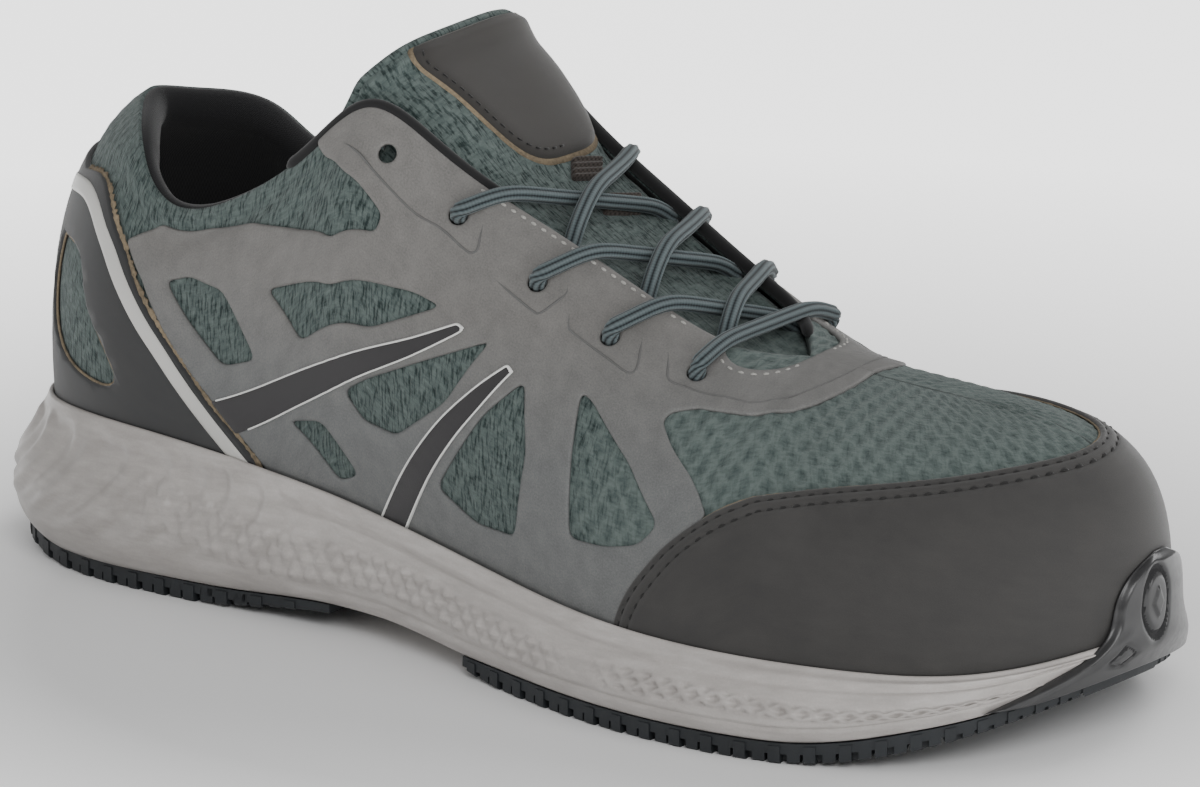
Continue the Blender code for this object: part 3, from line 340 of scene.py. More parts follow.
# the skin of the upper as a fine table, from the inner toe round the heel to the outer toe
HALF, LEVELS = 400, 120
PLACES = np.linspace(-1, 1, 2*HALF+1)
SHARES = np.linspace(0, 1, LEVELS+1)
outer_lines, outer_lengths = rib_lines(-1, np.linspace(0, 1, HALF+1), SHARES)
inner_lines, inner_lengths = rib_lines(1, np.linspace(0, 1, HALF+1), SHARES)
SKIN = np.concatenate([inner_lines[:0:-1], outer_lines])
RIB_LENGTH = np.concatenate([inner_lengths[:0:-1], outer_lengths])


def table_normals(points):
    closed = np.concatenate([points[-2:-1], points, points[1:2]])
    du = closed[2:]-closed[:-2]
    dv = np.gradient(points, axis=1)
    n = np.cross(du, dv)
    far = int((THROAT_END+1)/2*2*HALF)
    n[far:, -1] = n[far:, -1]+n[:2*HALF-far+1, -1][::-1]
    n[:2*HALF-far+1, -1] = n[far:, -1][::-1]
    return unit(n)


SKIN_UP = table_normals(SKIN)
MID_LINE = SKIN[:, int(0.45*LEVELS)]
ROUND_LENGTH = run_lengths(MID_LINE)
ROUND_LENGTH -= ROUND_LENGTH[HALF]


# millimetres to one place and to one share, about
AROUND, UPWARD = 290.0, 95.0


def crease_field():
    """Depth of the soft creases over the table."""
    u, v = np.meshgrid(PLACES, SHARES, indexing="ij")
    depth = np.zeros_like(u)
    for place, share, turn, length, width, deep in CREASES:
        x, y = (u-place)*AROUND*MM, (v-share)*UPWARD*MM
        t = math.radians(turn)
        along, across = x*math.cos(t)+y*math.sin(t), -x*math.sin(t)+y*math.cos(t)
        fade = np.exp(-(along/length)**2)
        depth -= deep*fade*np.exp(-(across/width)**2)
        depth += 0.45*deep*fade*np.exp(-((across-2*width)/width)**2)
    return depth*smooth((1-v)/0.06)


SKIN = SKIN+SKIN_UP*crease_field()[..., None]
SKIN_UP = table_normals(SKIN)


def look_up(table, place, share):
    u = (wrap(place)+1)*HALF
    v = np.clip(np.asarray(share, float), 0, 1)*LEVELS
    i, j = np.clip(np.floor(u).astype(int), 0, 2*HALF-1), np.clip(np.floor(v).astype(int), 0, LEVELS-1)
    a, b = (u-i)[..., None], (v-j)[..., None]
    return ((table[i, j]*(1-a)+table[i+1, j]*a)*(1-b)+(table[i, j+1]*(1-a)+table[i+1, j+1]*a)*b)


def at(place, share, lift=0.0):
    """Points on the skin, lifted along its normal."""
    place, share = np.broadcast_arrays(np.asarray(place, float), np.asarray(share, float))
    up = unit(look_up(SKIN_UP, place, share))
    return look_up(SKIN, place, share)+up*np.asarray(lift, float)[..., None]


def millimetres(place, share):
    """Lengths round and up the shoe in millimetres, for weaves and grain; they run on past the toe."""
    place = np.asarray(place, float)
    p = wrap(place)
    around = np.interp(p, PLACES, ROUND_LENGTH)/MM
    around = around+np.round((place-p)/2)*(ROUND_LENGTH[-1]-ROUND_LENGTH[0])/MM
    rib = np.interp(p, PLACES, RIB_LENGTH)
    return np.stack([around, -(1-np.asarray(share, float))*rib/MM], -1)


def nudge(place, share, d):
    """Change of (place, share) that moves a point of the skin by the vector d."""
    along = (at(place+0.004, share)-at(place-0.004, share))/0.008
    up = (at(place, min(share+0.01, 1))-at(place, share-0.01))/(min(share+0.01, 1)-share+0.01)
    g = np.array([[along@along, along@up], [along@up, up@up]])
    return np.linalg.solve(g, np.array([along@d, up@d]))


# mesh helpers
def make(name, verts, faces, mats, flat=False, weave=None, kinds=None):
    """Mesh object that rides on the shoe, in the row's frame."""
    mesh = bpy.data.meshes.new(name)
    verts = np.asarray(verts, float)-MIDDLE
    mesh.from_pydata(verts.tolist(), [], [tuple(int(i) for i in f) for f in faces])
    mesh.validate()
    for mat in mats if isinstance(mats, (list, tuple)) else [mats]:
        mesh.materials.append(mat)
    if kinds is not None:
        mesh.polygons.foreach_set("material_index", np.asarray(kinds, np.int32))
    if not flat:
        mesh.polygons.foreach_set("use_smooth", np.ones(len(mesh.polygons), bool))
    if weave is not None:
        layer = mesh.uv_layers.new(name="weave")
        corner = np.zeros(len(mesh.loops), np.int32)
        mesh.loops.foreach_get("vertex_index", corner)
        layer.data.foreach_set("uv", np.asarray(weave, np.float32)[corner].ravel())
    mesh.update()
    obj = bpy.data.objects.new(name, mesh)
    bpy.context.scene.collection.objects.link(obj)
    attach(obj, "root")
    return obj


def sheet_faces(rows, cols, closed=False):
    i, j = np.meshgrid(np.arange(rows-1), np.arange(cols if closed else cols-1), indexing="ij")
    k = (j+1) % cols
    return (np.stack([i*cols+j, i*cols+k, (i+1)*cols+k, (i+1)*cols+j], -1).reshape(-1, 4)).tolist()


def turned_over(faces, first=0):
    return [[f[0]+first, *(i+first for i in f[:0:-1])] for f in faces]


def open_edges(faces):
    """Edges that only one face has, in that face's direction."""
    used = set()
    for f in faces:
        used.update(zip(f, (*f[1:], f[0])))
    return [(a, b) for a, b in used if (b, a) not in used]


def slab(upper, lower):
    """Closed body between two open grids of points."""
    rows, cols = upper.shape[:2]
    n = rows*cols
    top = sheet_faces(rows, cols)
    faces = top+turned_over(top, n)
    rim = [i*cols for i in range(rows)]+[(rows-1)*cols+j for j in range(1, cols)]
    rim += [i*cols+cols-1 for i in range(rows-2, -1, -1)]+list(range(cols-2, 0, -1))
    for a, b in zip(rim, rim[1:]+rim[:1]):
        faces.append([a, a+n, b+n, b])
    return np.concatenate([upper.reshape(-1, 3), lower.reshape(-1, 3)]), faces


def outward_faces(obj):
    bm = bmesh.new()
    bm.from_mesh(obj.data)
    bmesh.ops.recalc_face_normals(bm, faces=bm.faces)
    if bm.calc_volume(signed=True) < 0:
        bmesh.ops.reverse_faces(bm, faces=bm.faces)
    bm.to_mesh(obj.data)
    bm.free()
    return obj


def tube(path, radius, sides=12, flat=1.0, up_hint=None, ribs=0, rib_depth=0.0):
    """Closed tube along a path; flat squeezes it along the hint, ribs run along it."""
    path = np.asarray(path, float)
    radius = np.broadcast_to(np.asarray(radius, float), (len(path),))
    tangent = unit(np.gradient(path, axis=0))
    length = run_lengths(path)
    hint = np.array([0, 0, 1.0]) if up_hint is None else up_hint
    verts, uv = [], []
    for i, (p, t) in enumerate(zip(path, tangent)):
        h = hint if np.ndim(hint) == 1 else hint[i]
        side = np.cross(h, t)
        side = side/max(np.linalg.norm(side), 1e-9)
        up = np.cross(t, side)
        for k in range(sides):
            w = 2*math.pi*k/sides
            r = radius[i]*(1+rib_depth*math.cos(ribs*w))
            verts.append(p+side*math.cos(w)*r+up*math.sin(w)*r*flat)
            uv.append((length[i]/MM, k/sides*2*math.pi*radius[i]/MM))
    n = len(path)
    faces = sheet_faces(n, sides, closed=True)
    faces.append(list(range(sides))[::-1])
    faces.append([(n-1)*sides+k for k in range(sides)])
    return np.array(verts), faces, np.array(uv)


def join(parts):
    """One set of points, faces and weave from several."""
    verts, faces, uv, n = [], [], [], 0
    for part in parts:
        verts.append(part[0])
        faces += [[i+n for i in f] for f in part[1]]
        uv.append(part[2] if len(part) > 2 else np.zeros((len(part[0]), 2)))
        n += len(part[0])
    return np.concatenate(verts), faces, np.concatenate(uv)


def from_ends(line):
    """Number of steps from each point to the nearer end."""
    steps = np.arange(len(line))
    return np.minimum(steps, steps[::-1])


def ease(rows, rounds):
    """Draw each row towards the middle of its neighbours; the first and last stay."""
    for _ in range(rounds):
        rows[1:-1] += 0.5*((rows[:-2]+rows[2:])/2-rows[1:-1])


def resample(path, step):
    """Even points along a path."""
    path = np.asarray(path, float)
    length = run_lengths(path)
    count = max(int(round(length[-1]/step)), 2)
    want = np.linspace(0, length[-1], count+1)
    return np.stack([np.interp(want, length, path[:, i]) for i in range(path.shape[1])], -1)


def soften(path, rounds=3):
    """Corner cutting that keeps the ends."""
    path = np.asarray(path, float)
    for _ in range(rounds):
        a, b = path[:-1], path[1:]
        cut = np.stack([0.75*a+0.25*b, 0.25*a+0.75*b], 1).reshape(-1, path.shape[1])
        path = np.concatenate([path[:1], cut[1:-1], path[-1:]])
    return path


def skin_path(points, step, rounds=2):
    """Places and shares along a softened line on the skin, evenly spaced in metres."""
    line = soften(points, rounds)
    dense = resample(line*np.array([3.0, 1.0]), 0.004)/np.array([3.0, 1.0])
    where = at(*dense.T)
    length = run_lengths(where)
    want = np.linspace(0, length[-1], max(int(length[-1]/step), 2)+1)
    return np.stack([np.interp(want, length, dense[:, i]) for i in range(2)], -1)


# outlines on the skin
def curve(points, count=5):
    """Smooth line through the points, in count steps between each two."""
    p = np.asarray(points, float)
    q = np.concatenate([2*p[:1]-p[1:2], p, 2*p[-1:]-p[-2:-1]])
    t = np.linspace(0, 1, count, endpoint=False)[:, None]
    parts = [0.5*(2*b+(c-a)*t+(2*a-5*b+4*c-d)*t*t+(3*b-a-3*c+d)*t**3)
             for a, b, c, d in zip(q, q[1:], q[2:], q[3:])]
    return [tuple(v) for v in np.concatenate(parts+[p[-1:]])]


def rounded(points, radius):
    """Outline with its corners rounded, in places and shares; points on the ridge stay."""
    out, n = [], len(points)
    for i in range(n):
        before, here, after = (np.array(points[(i+k) % n], float) for k in (-1, 0, 1))
        if here[1] > RIDGE and abs(wrap(here[0])) > THROAT_END:
            out.append(here)
            continue
        base = at(here[0], here[1])
        back, ahead = (np.linalg.norm(at(q[0], q[1])-base) for q in (before, after))
        a = here+(before-here)*min(radius/max(back, 1e-6), 0.45)
        b = here+(after-here)*min(radius/max(ahead, 1e-6), 0.45)
        for t in np.linspace(0, 1, 5):
            out.append((1-t)**2*a+2*(1-t)*t*here+t*t*b)
    return out


def fine(points, step):
    """Outline with no edge longer than step."""
    out, n = [], len(points)
    for i in range(n):
        a, b = np.array(points[i], float), np.array(points[(i+1) % n], float)
        size = np.linalg.norm(at(a[0], a[1])-at(b[0], b[1]))
        if size < 0.05*MM:
            continue
        count = max(int(math.ceil(size/step)), 1)
        out += [a+(b-a)*k/count for k in range(count)]
    return out


def inset(points, distance, sign):
    """Outline moved inwards over the skin; sign is +1 for an outer loop and -1 for a hole."""
    n, out = len(points), []
    area = sum(points[i][0]*points[(i+1) % n][1]-points[(i+1) % n][0]*points[i][1] for i in range(n))
    turn = sign if area > 0 else -sign
    for i in range(n):
        p = points[i]
        a, b = points[i-1], points[(i+1) % n]
        d = at(b[0], min(b[1], 1))-at(a[0], min(a[1], 1))
        up = look_up(SKIN_UP, p[0], p[1])
        across = np.cross(up, d)*turn
        across = across/max(np.linalg.norm(across), 1e-9)
        out.append(np.array(p)+nudge(p[0], p[1], across*distance))
    return out


def is_inside(x, y, loop):
    hit = np.zeros(np.shape(x), bool)
    loop = np.asarray(loop)
    for (x0, y0), (x1, y1) in zip(loop, np.roll(loop, -1, axis=0)):
        if y0 == y1:
            continue
        cross = ((y0 > y) != (y1 > y)) & (x < x0+(y-y0)*(x1-x0)/(y1-y0))
        hit ^= cross
    return hit


def lattice(flat, outline, holes, near, spacing):
    """Staggered grid of points in an outline, outside its holes and clear of the points near by."""
    low, high = flat.min(0), flat.max(0)
    xs, ys = np.arange(low[0]+spacing/2, high[0], spacing), np.arange(low[1]+spacing/2, high[1], spacing)
    gx, gy = np.meshgrid(xs, ys, indexing="ij")
    gx = gx+np.where(np.arange(len(ys)) % 2, spacing/2, 0)[None, :]
    grid = np.stack([gx.ravel(), gy.ravel()], -1)
    keep = is_inside(grid[:, 0], grid[:, 1], outline)
    for hole in holes:
        keep &= ~is_inside(grid[:, 0], grid[:, 1], hole)
    grid = grid[keep]
    clear = np.ones(len(grid), bool)
    for ring in near:
        for start in range(0, len(ring), 64):
            d = np.linalg.norm(grid[:, None]-ring[None, start:start+64], axis=2).min(1)
            clear &= d > 0.55*spacing
    return grid[clear]


def flat_patch(outline, holes, edge, ledge, spacing, extra):
    """Triangles of an outline with holes in the plane of places and shares, with rings near its edges."""
    loops = [(outline, 1)]+[(hole, -1) for hole in holes]
    points, levels, edges = [], [], []
    near = []
    for loop, sign in loops:
        for level, distance in enumerate((0.0, edge, ledge)):
            ring = loop if distance == 0 else inset(loop, distance, sign)
            if distance:
                ring = [np.array([q[0], min(q[1], 1.0)]) for q in ring]
            first = len(points)
            points += [tuple(q) for q in ring]
            levels += [level]*len(ring)
            if level == 0:
                edges += [(first+k, first+(k+1) % len(ring)) for k in range(len(ring))]
            near.append(np.array(ring))
    if len(extra):
        points += [tuple(q) for q in extra]
        levels += [4+k for k in range(len(extra))]
        near.append(np.array(extra))
    scale = np.array([AROUND, UPWARD])
    near = [ring*scale for ring in near]
    inside_points = lattice(np.array(points)*scale, near[0], near[3:3*len(loops):3], near, spacing)
    inside_points = [tuple(p) for p in inside_points/scale]
    levels += [3]*len(inside_points)
    everything = [Vector(np.array(p)*scale) for p in points+inside_points]
    verts, _, faces, sources, _, _ = delaunay_2d_cdt(everything, edges, [], 0, 1e-4)
    verts = np.array([v[:] for v in verts])
    # points that fell together take the outermost ring's level; rows of extra points keep their own
    level = np.array([min((levels[s] for s in src), default=3) for src in sources])
    solid = [all(s not in (0, 1, 2) for s in (levels[k] for k in src)) for src in sources]
    level = np.where(solid, np.array([max((levels[s] for s in src), default=3) for src in sources]), level)
    middle = np.array([verts[list(f)].mean(0) for f in faces])
    keep = is_inside(middle[:, 0], middle[:, 1], np.array(outline)*scale)
    for hole in holes:
        keep &= ~is_inside(middle[:, 0], middle[:, 1], np.array(hole)*scale)
    out = []
    for f, k in zip(faces, keep):
        if k:
            p, q, r = verts[f[0]], verts[f[1]], verts[f[2]]
            turn = (q[0]-p[0])*(r[1]-p[1])-(q[1]-p[1])*(r[0]-p[0])
            if abs(turn) > 1e-5:
                out.append(tuple(f) if turn > 0 else (f[0], f[2], f[1]))
    return verts/scale, level, out


def panel(name, halves, base, thick, mat, radius=1.5*MM, step=1.3*MM, spacing=3.2, sunk=0.35*MM,
          edge=0.25*MM, ledge=0.8*MM, extra=(), extra_lift=()):
    """Thin piece on the skin with soft edges. Halves are (outline, holes) pairs that may share an edge."""
    points, levels, triangles, seen = [], [], [], {}
    for outline, holes in halves:
        loop = fine(rounded(outline, radius), step)
        cuts = [h if len(h) > 16 else fine(rounded(h, 2.4*MM), step) for h in holes]
        flat, level, faces = flat_patch(loop, cuts, edge, ledge, spacing, extra)
        used = sorted({k for f in faces for k in f})
        place = at(flat[used, 0], flat[used, 1])
        lookup = {}
        for k, p in zip(used, place):
            key = tuple(np.round(p/(0.03*MM)).astype(int))
            if key not in seen:
                seen[key] = len(points)
                points.append(flat[k])
                levels.append(level[k])
            elif flat[k][1] > RIDGE and abs(wrap(flat[k][0])) > THROAT_END:
                levels[seen[key]] = 3
            lookup[k] = seen[key]
        for f in faces:
            tri = tuple(lookup[k] for k in f)
            if len(set(tri)) == 3:
                triangles.append(tri)
    points, levels = np.array(points), np.array(levels)
    profile = np.array([0.40, 0.88, 1.0, 1.0])[np.minimum(levels, 3)]
    lift = base+thick*profile
    if len(extra):
        lift = lift+np.where(levels > 3, np.asarray(extra_lift)[np.maximum(levels-4, 0)], 0)
    top = at(*points.T, lift)
    bottom = at(*points.T, base-sunk)
    n = len(points)
    faces = triangles+turned_over(triangles, n)
    faces += [[a, a+n, b+n, b] for a, b in open_edges(triangles)]
    weave = millimetres(*points.T)
    return make(name, np.concatenate([top, bottom]), faces, mat, weave=np.concatenate([weave, weave]))


def on_sign(loop, sign):
    """The same line on the outer side for 1 and on the inner side for -1."""
    return [(sign*a, h) for a, h in loop]


def mirror(loop):
    return on_sign(loop, -1)[::-1]


# materials
class Shade:
    """A material's node tree, built call by call."""

    def __init__(self, name, color, roughness):
        self.mat = bpy.data.materials.new(name)
        self.mat.use_nodes = True
        self.tree = self.mat.node_tree
        self.main = self.tree.nodes["Principled BSDF"]
        self.main.inputs["Base Color"].default_value = (*color, 1)
        self.main.inputs["Roughness"].default_value = roughness
        self.mat.diffuse_color = (*color, 1)

    def put(self, socket, value):
        if isinstance(value, bpy.types.NodeSocket):
            self.tree.links.new(value, socket)
        else:
            socket.default_value = value

    def math(self, operation, *values):
        node = self.tree.nodes.new("ShaderNodeMath")
        node.operation = operation
        for socket, value in zip(node.inputs, values):
            self.put(socket, value)
        return node.outputs[0]

    def add(self, a, b):
        return self.math("ADD", a, b)

    def less(self, a, b):
        return self.math("SUBTRACT", a, b)

    def times(self, a, b):
        return self.math("MULTIPLY", a, b)

    def weave(self, scale=(1, 1, 1), turn=0.0):
        uv = self.tree.nodes.new("ShaderNodeUVMap")
        uv.uv_map = "weave"
        return self.mapped(uv.outputs[0], scale, turn)

    def body(self, scale=(1000, 1000, 1000)):
        """Object coordinates in millimetres."""
        node = self.tree.nodes.new("ShaderNodeTexCoord")
        return self.mapped(node.outputs["Object"], scale, 0.0)

    def mapped(self, socket, scale, turn):
        node = self.tree.nodes.new("ShaderNodeMapping")
        node.inputs["Scale"].default_value = scale
        node.inputs["Rotation"].default_value = (0, 0, turn)
        self.tree.links.new(socket, node.inputs["Vector"])
        return node.outputs[0]

    def noise(self, vector, scale, detail=2.0, rough=0.5):
        node = self.tree.nodes.new("ShaderNodeTexNoise")
        self.put(node.inputs["Vector"], vector)
        for key, value in (("Scale", scale), ("Detail", detail), ("Roughness", rough)):
            node.inputs[key].default_value = value
        return node.outputs["Fac"]

    def parts(self, vector):
        node = self.tree.nodes.new("ShaderNodeSeparateXYZ")
        self.put(node.inputs[0], vector)
        return node.outputs

    def ramp(self, value, stops):
        node = self.tree.nodes.new("ShaderNodeValToRGB")
        self.put(node.inputs[0], value)
        while len(node.color_ramp.elements) < len(stops):
            node.color_ramp.elements.new(0.5)
        for element, (position, color) in zip(node.color_ramp.elements, stops):
            element.position = position
            element.color = (*color, 1) if len(color) == 3 else color
        return node.outputs[0]

    def range(self, value, low, high, to_low=0.0, to_high=1.0):
        node = self.tree.nodes.new("ShaderNodeMapRange")
        self.put(node.inputs["Value"], value)
        for key, number in (("From Min", low), ("From Max", high), ("To Min", to_low), ("To Max", to_high)):
            node.inputs[key].default_value = number
        return node.outputs[0]

    def mix(self, factor, a, b):
        node = self.tree.nodes.new("ShaderNodeMix")
        node.data_type = "RGBA"
        self.put(node.inputs["Factor"], factor)
        self.put(node.inputs[6], a if isinstance(a, bpy.types.NodeSocket) else (*a, 1))
        self.put(node.inputs[7], b if isinstance(b, bpy.types.NodeSocket) else (*b, 1))
        return node.outputs[2]

    def bump(self, height, distance, strength=1.0, below=None):
        node = self.tree.nodes.new("ShaderNodeBump")
        node.inputs["Strength"].default_value = strength
        node.inputs["Distance"].default_value = distance
        self.put(node.inputs["Height"], height)
        if below is not None:
            self.tree.links.new(below, node.inputs["Normal"])
        return node.outputs[0]

    def finish(self, color=None, roughness=None, normal=None, **sockets):
        for key, value in (("Base Color", color), ("Roughness", roughness), ("Normal", normal)):
            if value is not None:
                self.put(self.main.inputs[key], value)
        for key, value in sockets.items():
            self.main.inputs[key.replace("_", " ").title().replace("Ior", "IOR")].default_value = value
        return self.mat


# cells of the drawn mesh in millimetres
MESH_WIDE, MESH_HIGH = 5.2, 8.4


def knit_material(name, light, dark, shade):
    """Coarse knitted mesh: slanted dark gaps on the quarters, soft staggered cells on the vamp, and a
    painted highlight lightening the vamp.
    """
    s = Shade(name, light, 0.9)
    uv = s.weave()
    wobble, wobble2 = s.noise(uv, 0.35, 3.0), s.noise(s.weave((1, 1, 1), 1.1), 0.35, 3.0)
    x, y, _ = s.parts(uv)
    u = s.math("DIVIDE", s.add(x, s.range(wobble, 0, 1, -1.6, 1.6)), MESH_WIDE)
    v = s.math("DIVIDE", s.add(y, s.range(wobble2, 0, 1, -1.4, 1.4)), MESH_HIGH)
    one = s.math("SINE", s.times(s.add(u, v), math.pi))
    two = s.math("SINE", s.times(s.less(u, v), math.pi))
    cell = s.times(s.math("ABSOLUTE", one), s.math("ABSOLUTE", two))
    strokes = s.noise(s.weave((1.55, 0.30, 1), -0.62), 1.0, 2.0, 0.55)
    leaves = s.noise(s.weave((0.34, 1.05, 1), 0.55), 1.0, 2.0, 0.6)
    fuzz = s.noise(uv, 2.2, 3.0, 0.65)
    front = s.range(s.parts(s.body())[0], 24, 50)
    gaps = s.times(s.range(strokes, 0.52, 0.38), s.math("MULTIPLY_ADD", front, -0.70, 1.0))
    soft = s.times(cell, s.math("MULTIPLY_ADD", front, 0.16, 0.16))
    high = s.add(s.times(leaves, 0.75), s.times(fuzz, 0.40))
    # the vamp's tone is raised by 0.13 of the ramp: a painted highlight where it faces up to the lamps
    height = s.less(high, s.less(s.add(s.times(gaps, 0.40), soft), s.times(front, 0.13)))
    color = s.ramp(height, [(0.0, dark), (0.34, shade), (0.72, light)])
    return s.finish(color, s.range(fuzz, 0.2, 0.8, 0.80, 0.98), s.bump(height, 0.40*MM, 0.9),
                    sheen_weight=0.12, specular_ior_level=0.22)


def film_material():
    """Thin matt film with a fine speckle over the mesh, softly mottled and warmer on top."""
    s = Shade("film", (0.16, 0.158, 0.153), 0.6)
    uv = s.weave()
    speck = s.noise(uv, 2.4, 2.0, 0.7)
    mottle = s.noise(uv, 0.20, 4.0, 0.6)
    under = s.noise(uv, 0.42, 2.0)
    tone = s.add(s.times(speck, 0.62), s.times(mottle, 0.38))
    low = s.ramp(tone, [(0.30, (0.092, 0.096, 0.096)), (0.52, (0.135, 0.139, 0.138)),
                        (0.74, (0.185, 0.187, 0.183))])
    high = s.ramp(tone, [(0.30, (0.112, 0.109, 0.104)), (0.52, (0.158, 0.153, 0.146)),
                         (0.74, (0.212, 0.205, 0.195))])
    color = s.mix(s.range(s.parts(s.body())[2], 50, 78), low, high)
    return s.finish(color, s.range(speck, 0.3, 0.7, 0.50, 0.68),
                    s.bump(speck, 0.06*MM, 0.8, s.bump(under, 0.22*MM, 0.5)), specular_ior_level=0.35)


def nubuck_material(name, light, dark):
    """Napped leather or microfibre: short pile, cloudy tone, rubbed spots."""
    s = Shade(name, light, 0.8)
    uv = s.weave()
    pile = s.noise(uv, 3.2, 3.0, 0.7)
    cloud = s.noise(uv, 0.09, 4.0, 0.6)
    rub = s.noise(s.weave((0.25, 1, 1), 0.3), 0.35, 3.0, 0.6)
    tone = s.add(s.times(cloud, 0.6),
                  s.add(s.times(pile, 0.25), s.times(rub, 0.15)))
    color = s.ramp(tone, [(0.34, dark), (0.66, light)])
    return s.finish(color, s.range(cloud, 0.3, 0.7, 0.66, 0.85), s.bump(pile, 0.06*MM, 0.7),
                    sheen_weight=0.25, sheen_roughness=0.5, specular_ior_level=0.3)


def cloth_material(name, light, dark, pitch=0.9):
    """Plain fine weave with fuzz."""
    s = Shade(name, light, 0.9)
    uv = s.weave()
    x, y, _ = s.parts(uv)
    warp = s.math("SINE", s.times(x, 2*math.pi/pitch))
    weft = s.math("SINE", s.times(y, 2*math.pi/pitch))
    thread = s.math("MULTIPLY_ADD", s.times(warp, weft), 0.5, 0.5)
    fuzz = s.noise(uv, 1.8, 3.0, 0.6)
    height = s.add(s.times(thread, 0.5), s.times(fuzz, 0.6))
    return s.finish(s.ramp(height, [(0.25, dark), (0.80, light)]), 0.92, s.bump(height, 0.12*MM, 0.8),
                    sheen_weight=0.2, specular_ior_level=0.2)


def plain_material(name, color, roughness, bump_scale=1.5, bump_size=0.05*MM, vary=0.12, **sockets):
    """Moulded or taped surface with a light grain, by object coordinates."""
    s = Shade(name, color, roughness)
    where = s.body()
    grain = s.noise(where, bump_scale, 3.0, 0.6)
    cloud = s.noise(where, 0.05, 3.0, 0.6)
    tone = s.add(s.times(grain, 0.4), s.times(cloud, 0.6))
    dark, light = (tuple(c*(1-vary) for c in color), tuple(min(c*(1+vary), 1) for c in color))
    return s.finish(s.ramp(tone, [(0.35, dark), (0.65, light)]),
                    s.range(grain, 0.3, 0.7, roughness-0.06, roughness+0.06), s.bump(grain, bump_size, 0.6),
                    **sockets)


def foam_material():
    """Moulded foam: faint pearly streaks, a fine skin, and painted shade darkening the heel."""
    s = Shade("foam", (0.34, 0.318, 0.302), 0.45)
    where = s.body()
    grain = s.noise(where, 2.2, 3.0, 0.6)
    streak = s.noise(s.body((90, 90, 420)), 1.0, 4.0, 0.6)
    tone = s.add(s.times(grain, 0.25), s.times(streak, 0.75))
    # darker ramp at the heel, lighter ramp further forward: painted shade, as the light falls off towards
    # the heel
    heel = s.ramp(tone, [(0.32, (0.285, 0.265, 0.250)), (0.52, (0.345, 0.323, 0.306)),
                         (0.70, (0.410, 0.388, 0.370))])
    rest = s.ramp(tone, [(0.32, (0.370, 0.345, 0.328)), (0.52, (0.445, 0.418, 0.398)),
                         (0.70, (0.525, 0.497, 0.475))])
    color = s.mix(s.range(s.parts(where)[0], -110, -45), heel, rest)
    return s.finish(color, s.range(grain, 0.3, 0.7, 0.30, 0.44), s.bump(grain, 0.04*MM, 0.6),
                    specular_ior_level=0.5)


def cord_material():
    """Ribbed round lace: seven cords with painted shade in the dark grooves between, fine picks across."""
    s = Shade("cord", (0.06, 0.085, 0.093), 0.8)
    uv = s.weave()
    x, y, _ = s.parts(uv)
    rib = s.math("ABSOLUTE", s.math("COSINE", s.times(y, 0.5*LACE_RIBS/(LACE_RADIUS/MM))))
    picks = s.math("SINE", s.times(x, 2*math.pi/0.7))
    fuzz = s.noise(uv, 2.0, 2.0)
    height = s.add(s.times(rib, 0.75),
                    s.add(s.times(picks, 0.06), s.times(fuzz, 0.25)))
    # near black where the ribs dip: painted shade in the grooves between the cords
    color = s.ramp(height, [(0.18, (0.009, 0.012, 0.014)), (0.50, (0.048, 0.064, 0.069)),
                            (0.90, (0.108, 0.134, 0.140))])
    return s.finish(color, 0.85, s.bump(height, 0.25*MM, 0.8), sheen_weight=0.15, specular_ior_level=0.25)


KNIT = knit_material("knit", (0.120, 0.150, 0.141), (0.013, 0.024, 0.023), (0.062, 0.084, 0.080))
LINING = cloth_material("lining", (0.022, 0.022, 0.023), (0.006, 0.006, 0.007))
FILM_GREY = film_material()
NUBUCK = nubuck_material("nubuck", (0.050, 0.048, 0.046), (0.031, 0.030, 0.029))
COUNTER = nubuck_material("counter_nubuck", (0.037, 0.037, 0.037), (0.020, 0.021, 0.022))
DARK_FILM = nubuck_material("dark_film", (0.036, 0.034, 0.036), (0.025, 0.024, 0.025))
PALE_LINE = plain_material("pale_line", (0.78, 0.78, 0.76), 0.5, vary=0.04)
REFLECT = plain_material("reflective", (0.50, 0.495, 0.47), 0.38, bump_scale=3.0, bump_size=0.03*MM,
                         vary=0.05)
RAW_EDGE = plain_material("raw_edge", (0.165, 0.130, 0.085), 0.9, bump_scale=1.2, bump_size=0.25*MM,
                          vary=0.6)
FOAM = foam_material()
RUBBER_MAT = plain_material("rubber", (0.017, 0.020, 0.023), 0.60, vary=0.25)
GLOSS_RUBBER = plain_material("gloss_rubber", (0.020, 0.020, 0.021), 0.34, bump_scale=0.5, bump_size=0.03*MM,
                              vary=0.25, coat_weight=0.3, coat_roughness=0.2)
# near black for the bumper's oval groove and small mark: painted shade in these recesses
PAINTED_GROOVE_SHADE = plain_material("groove", (0.005, 0.005, 0.006), 0.7, vary=0.1)
LABEL = nubuck_material("label", (0.038, 0.035, 0.032), (0.025, 0.023, 0.021))
WEBBING = cloth_material("webbing", (0.070, 0.058, 0.050), (0.016, 0.013, 0.012), 1.3)
CORD = cord_material()
THREAD = cloth_material("thread", (0.030, 0.029, 0.028), (0.010, 0.010, 0.010), 0.5)
PALE_THREAD = cloth_material("pale_thread", (0.46, 0.45, 0.42), (0.20, 0.20, 0.19), 0.5)
FOOTBED = cloth_material("footbed", (0.045, 0.045, 0.048), (0.016, 0.016, 0.018), 1.1)
BINDING = cloth_material("binding", (0.020, 0.020, 0.021), (0.006, 0.006, 0.006), 0.8)
EMBOSS = plain_material("embossed_line", (0.105, 0.104, 0.102), 0.7, vary=0.1)


# camera at the photograph's angle, floor and light
AIM = np.array([7.3*MM, 1.9*MM, 50*MM])
AZIMUTH, ELEVATION, ROLL = math.radians(37.5), math.radians(15.95), math.radians(0.2)
DISTANCE = 2.2
FOCAL = 300.96
SIDEWAYS, UPWARDS = -2.4*MM, 3.8*MM
FLOOR_REACH = 12
FLOOR_GLOW = 1.8
WORLD_LIGHT = 0.42

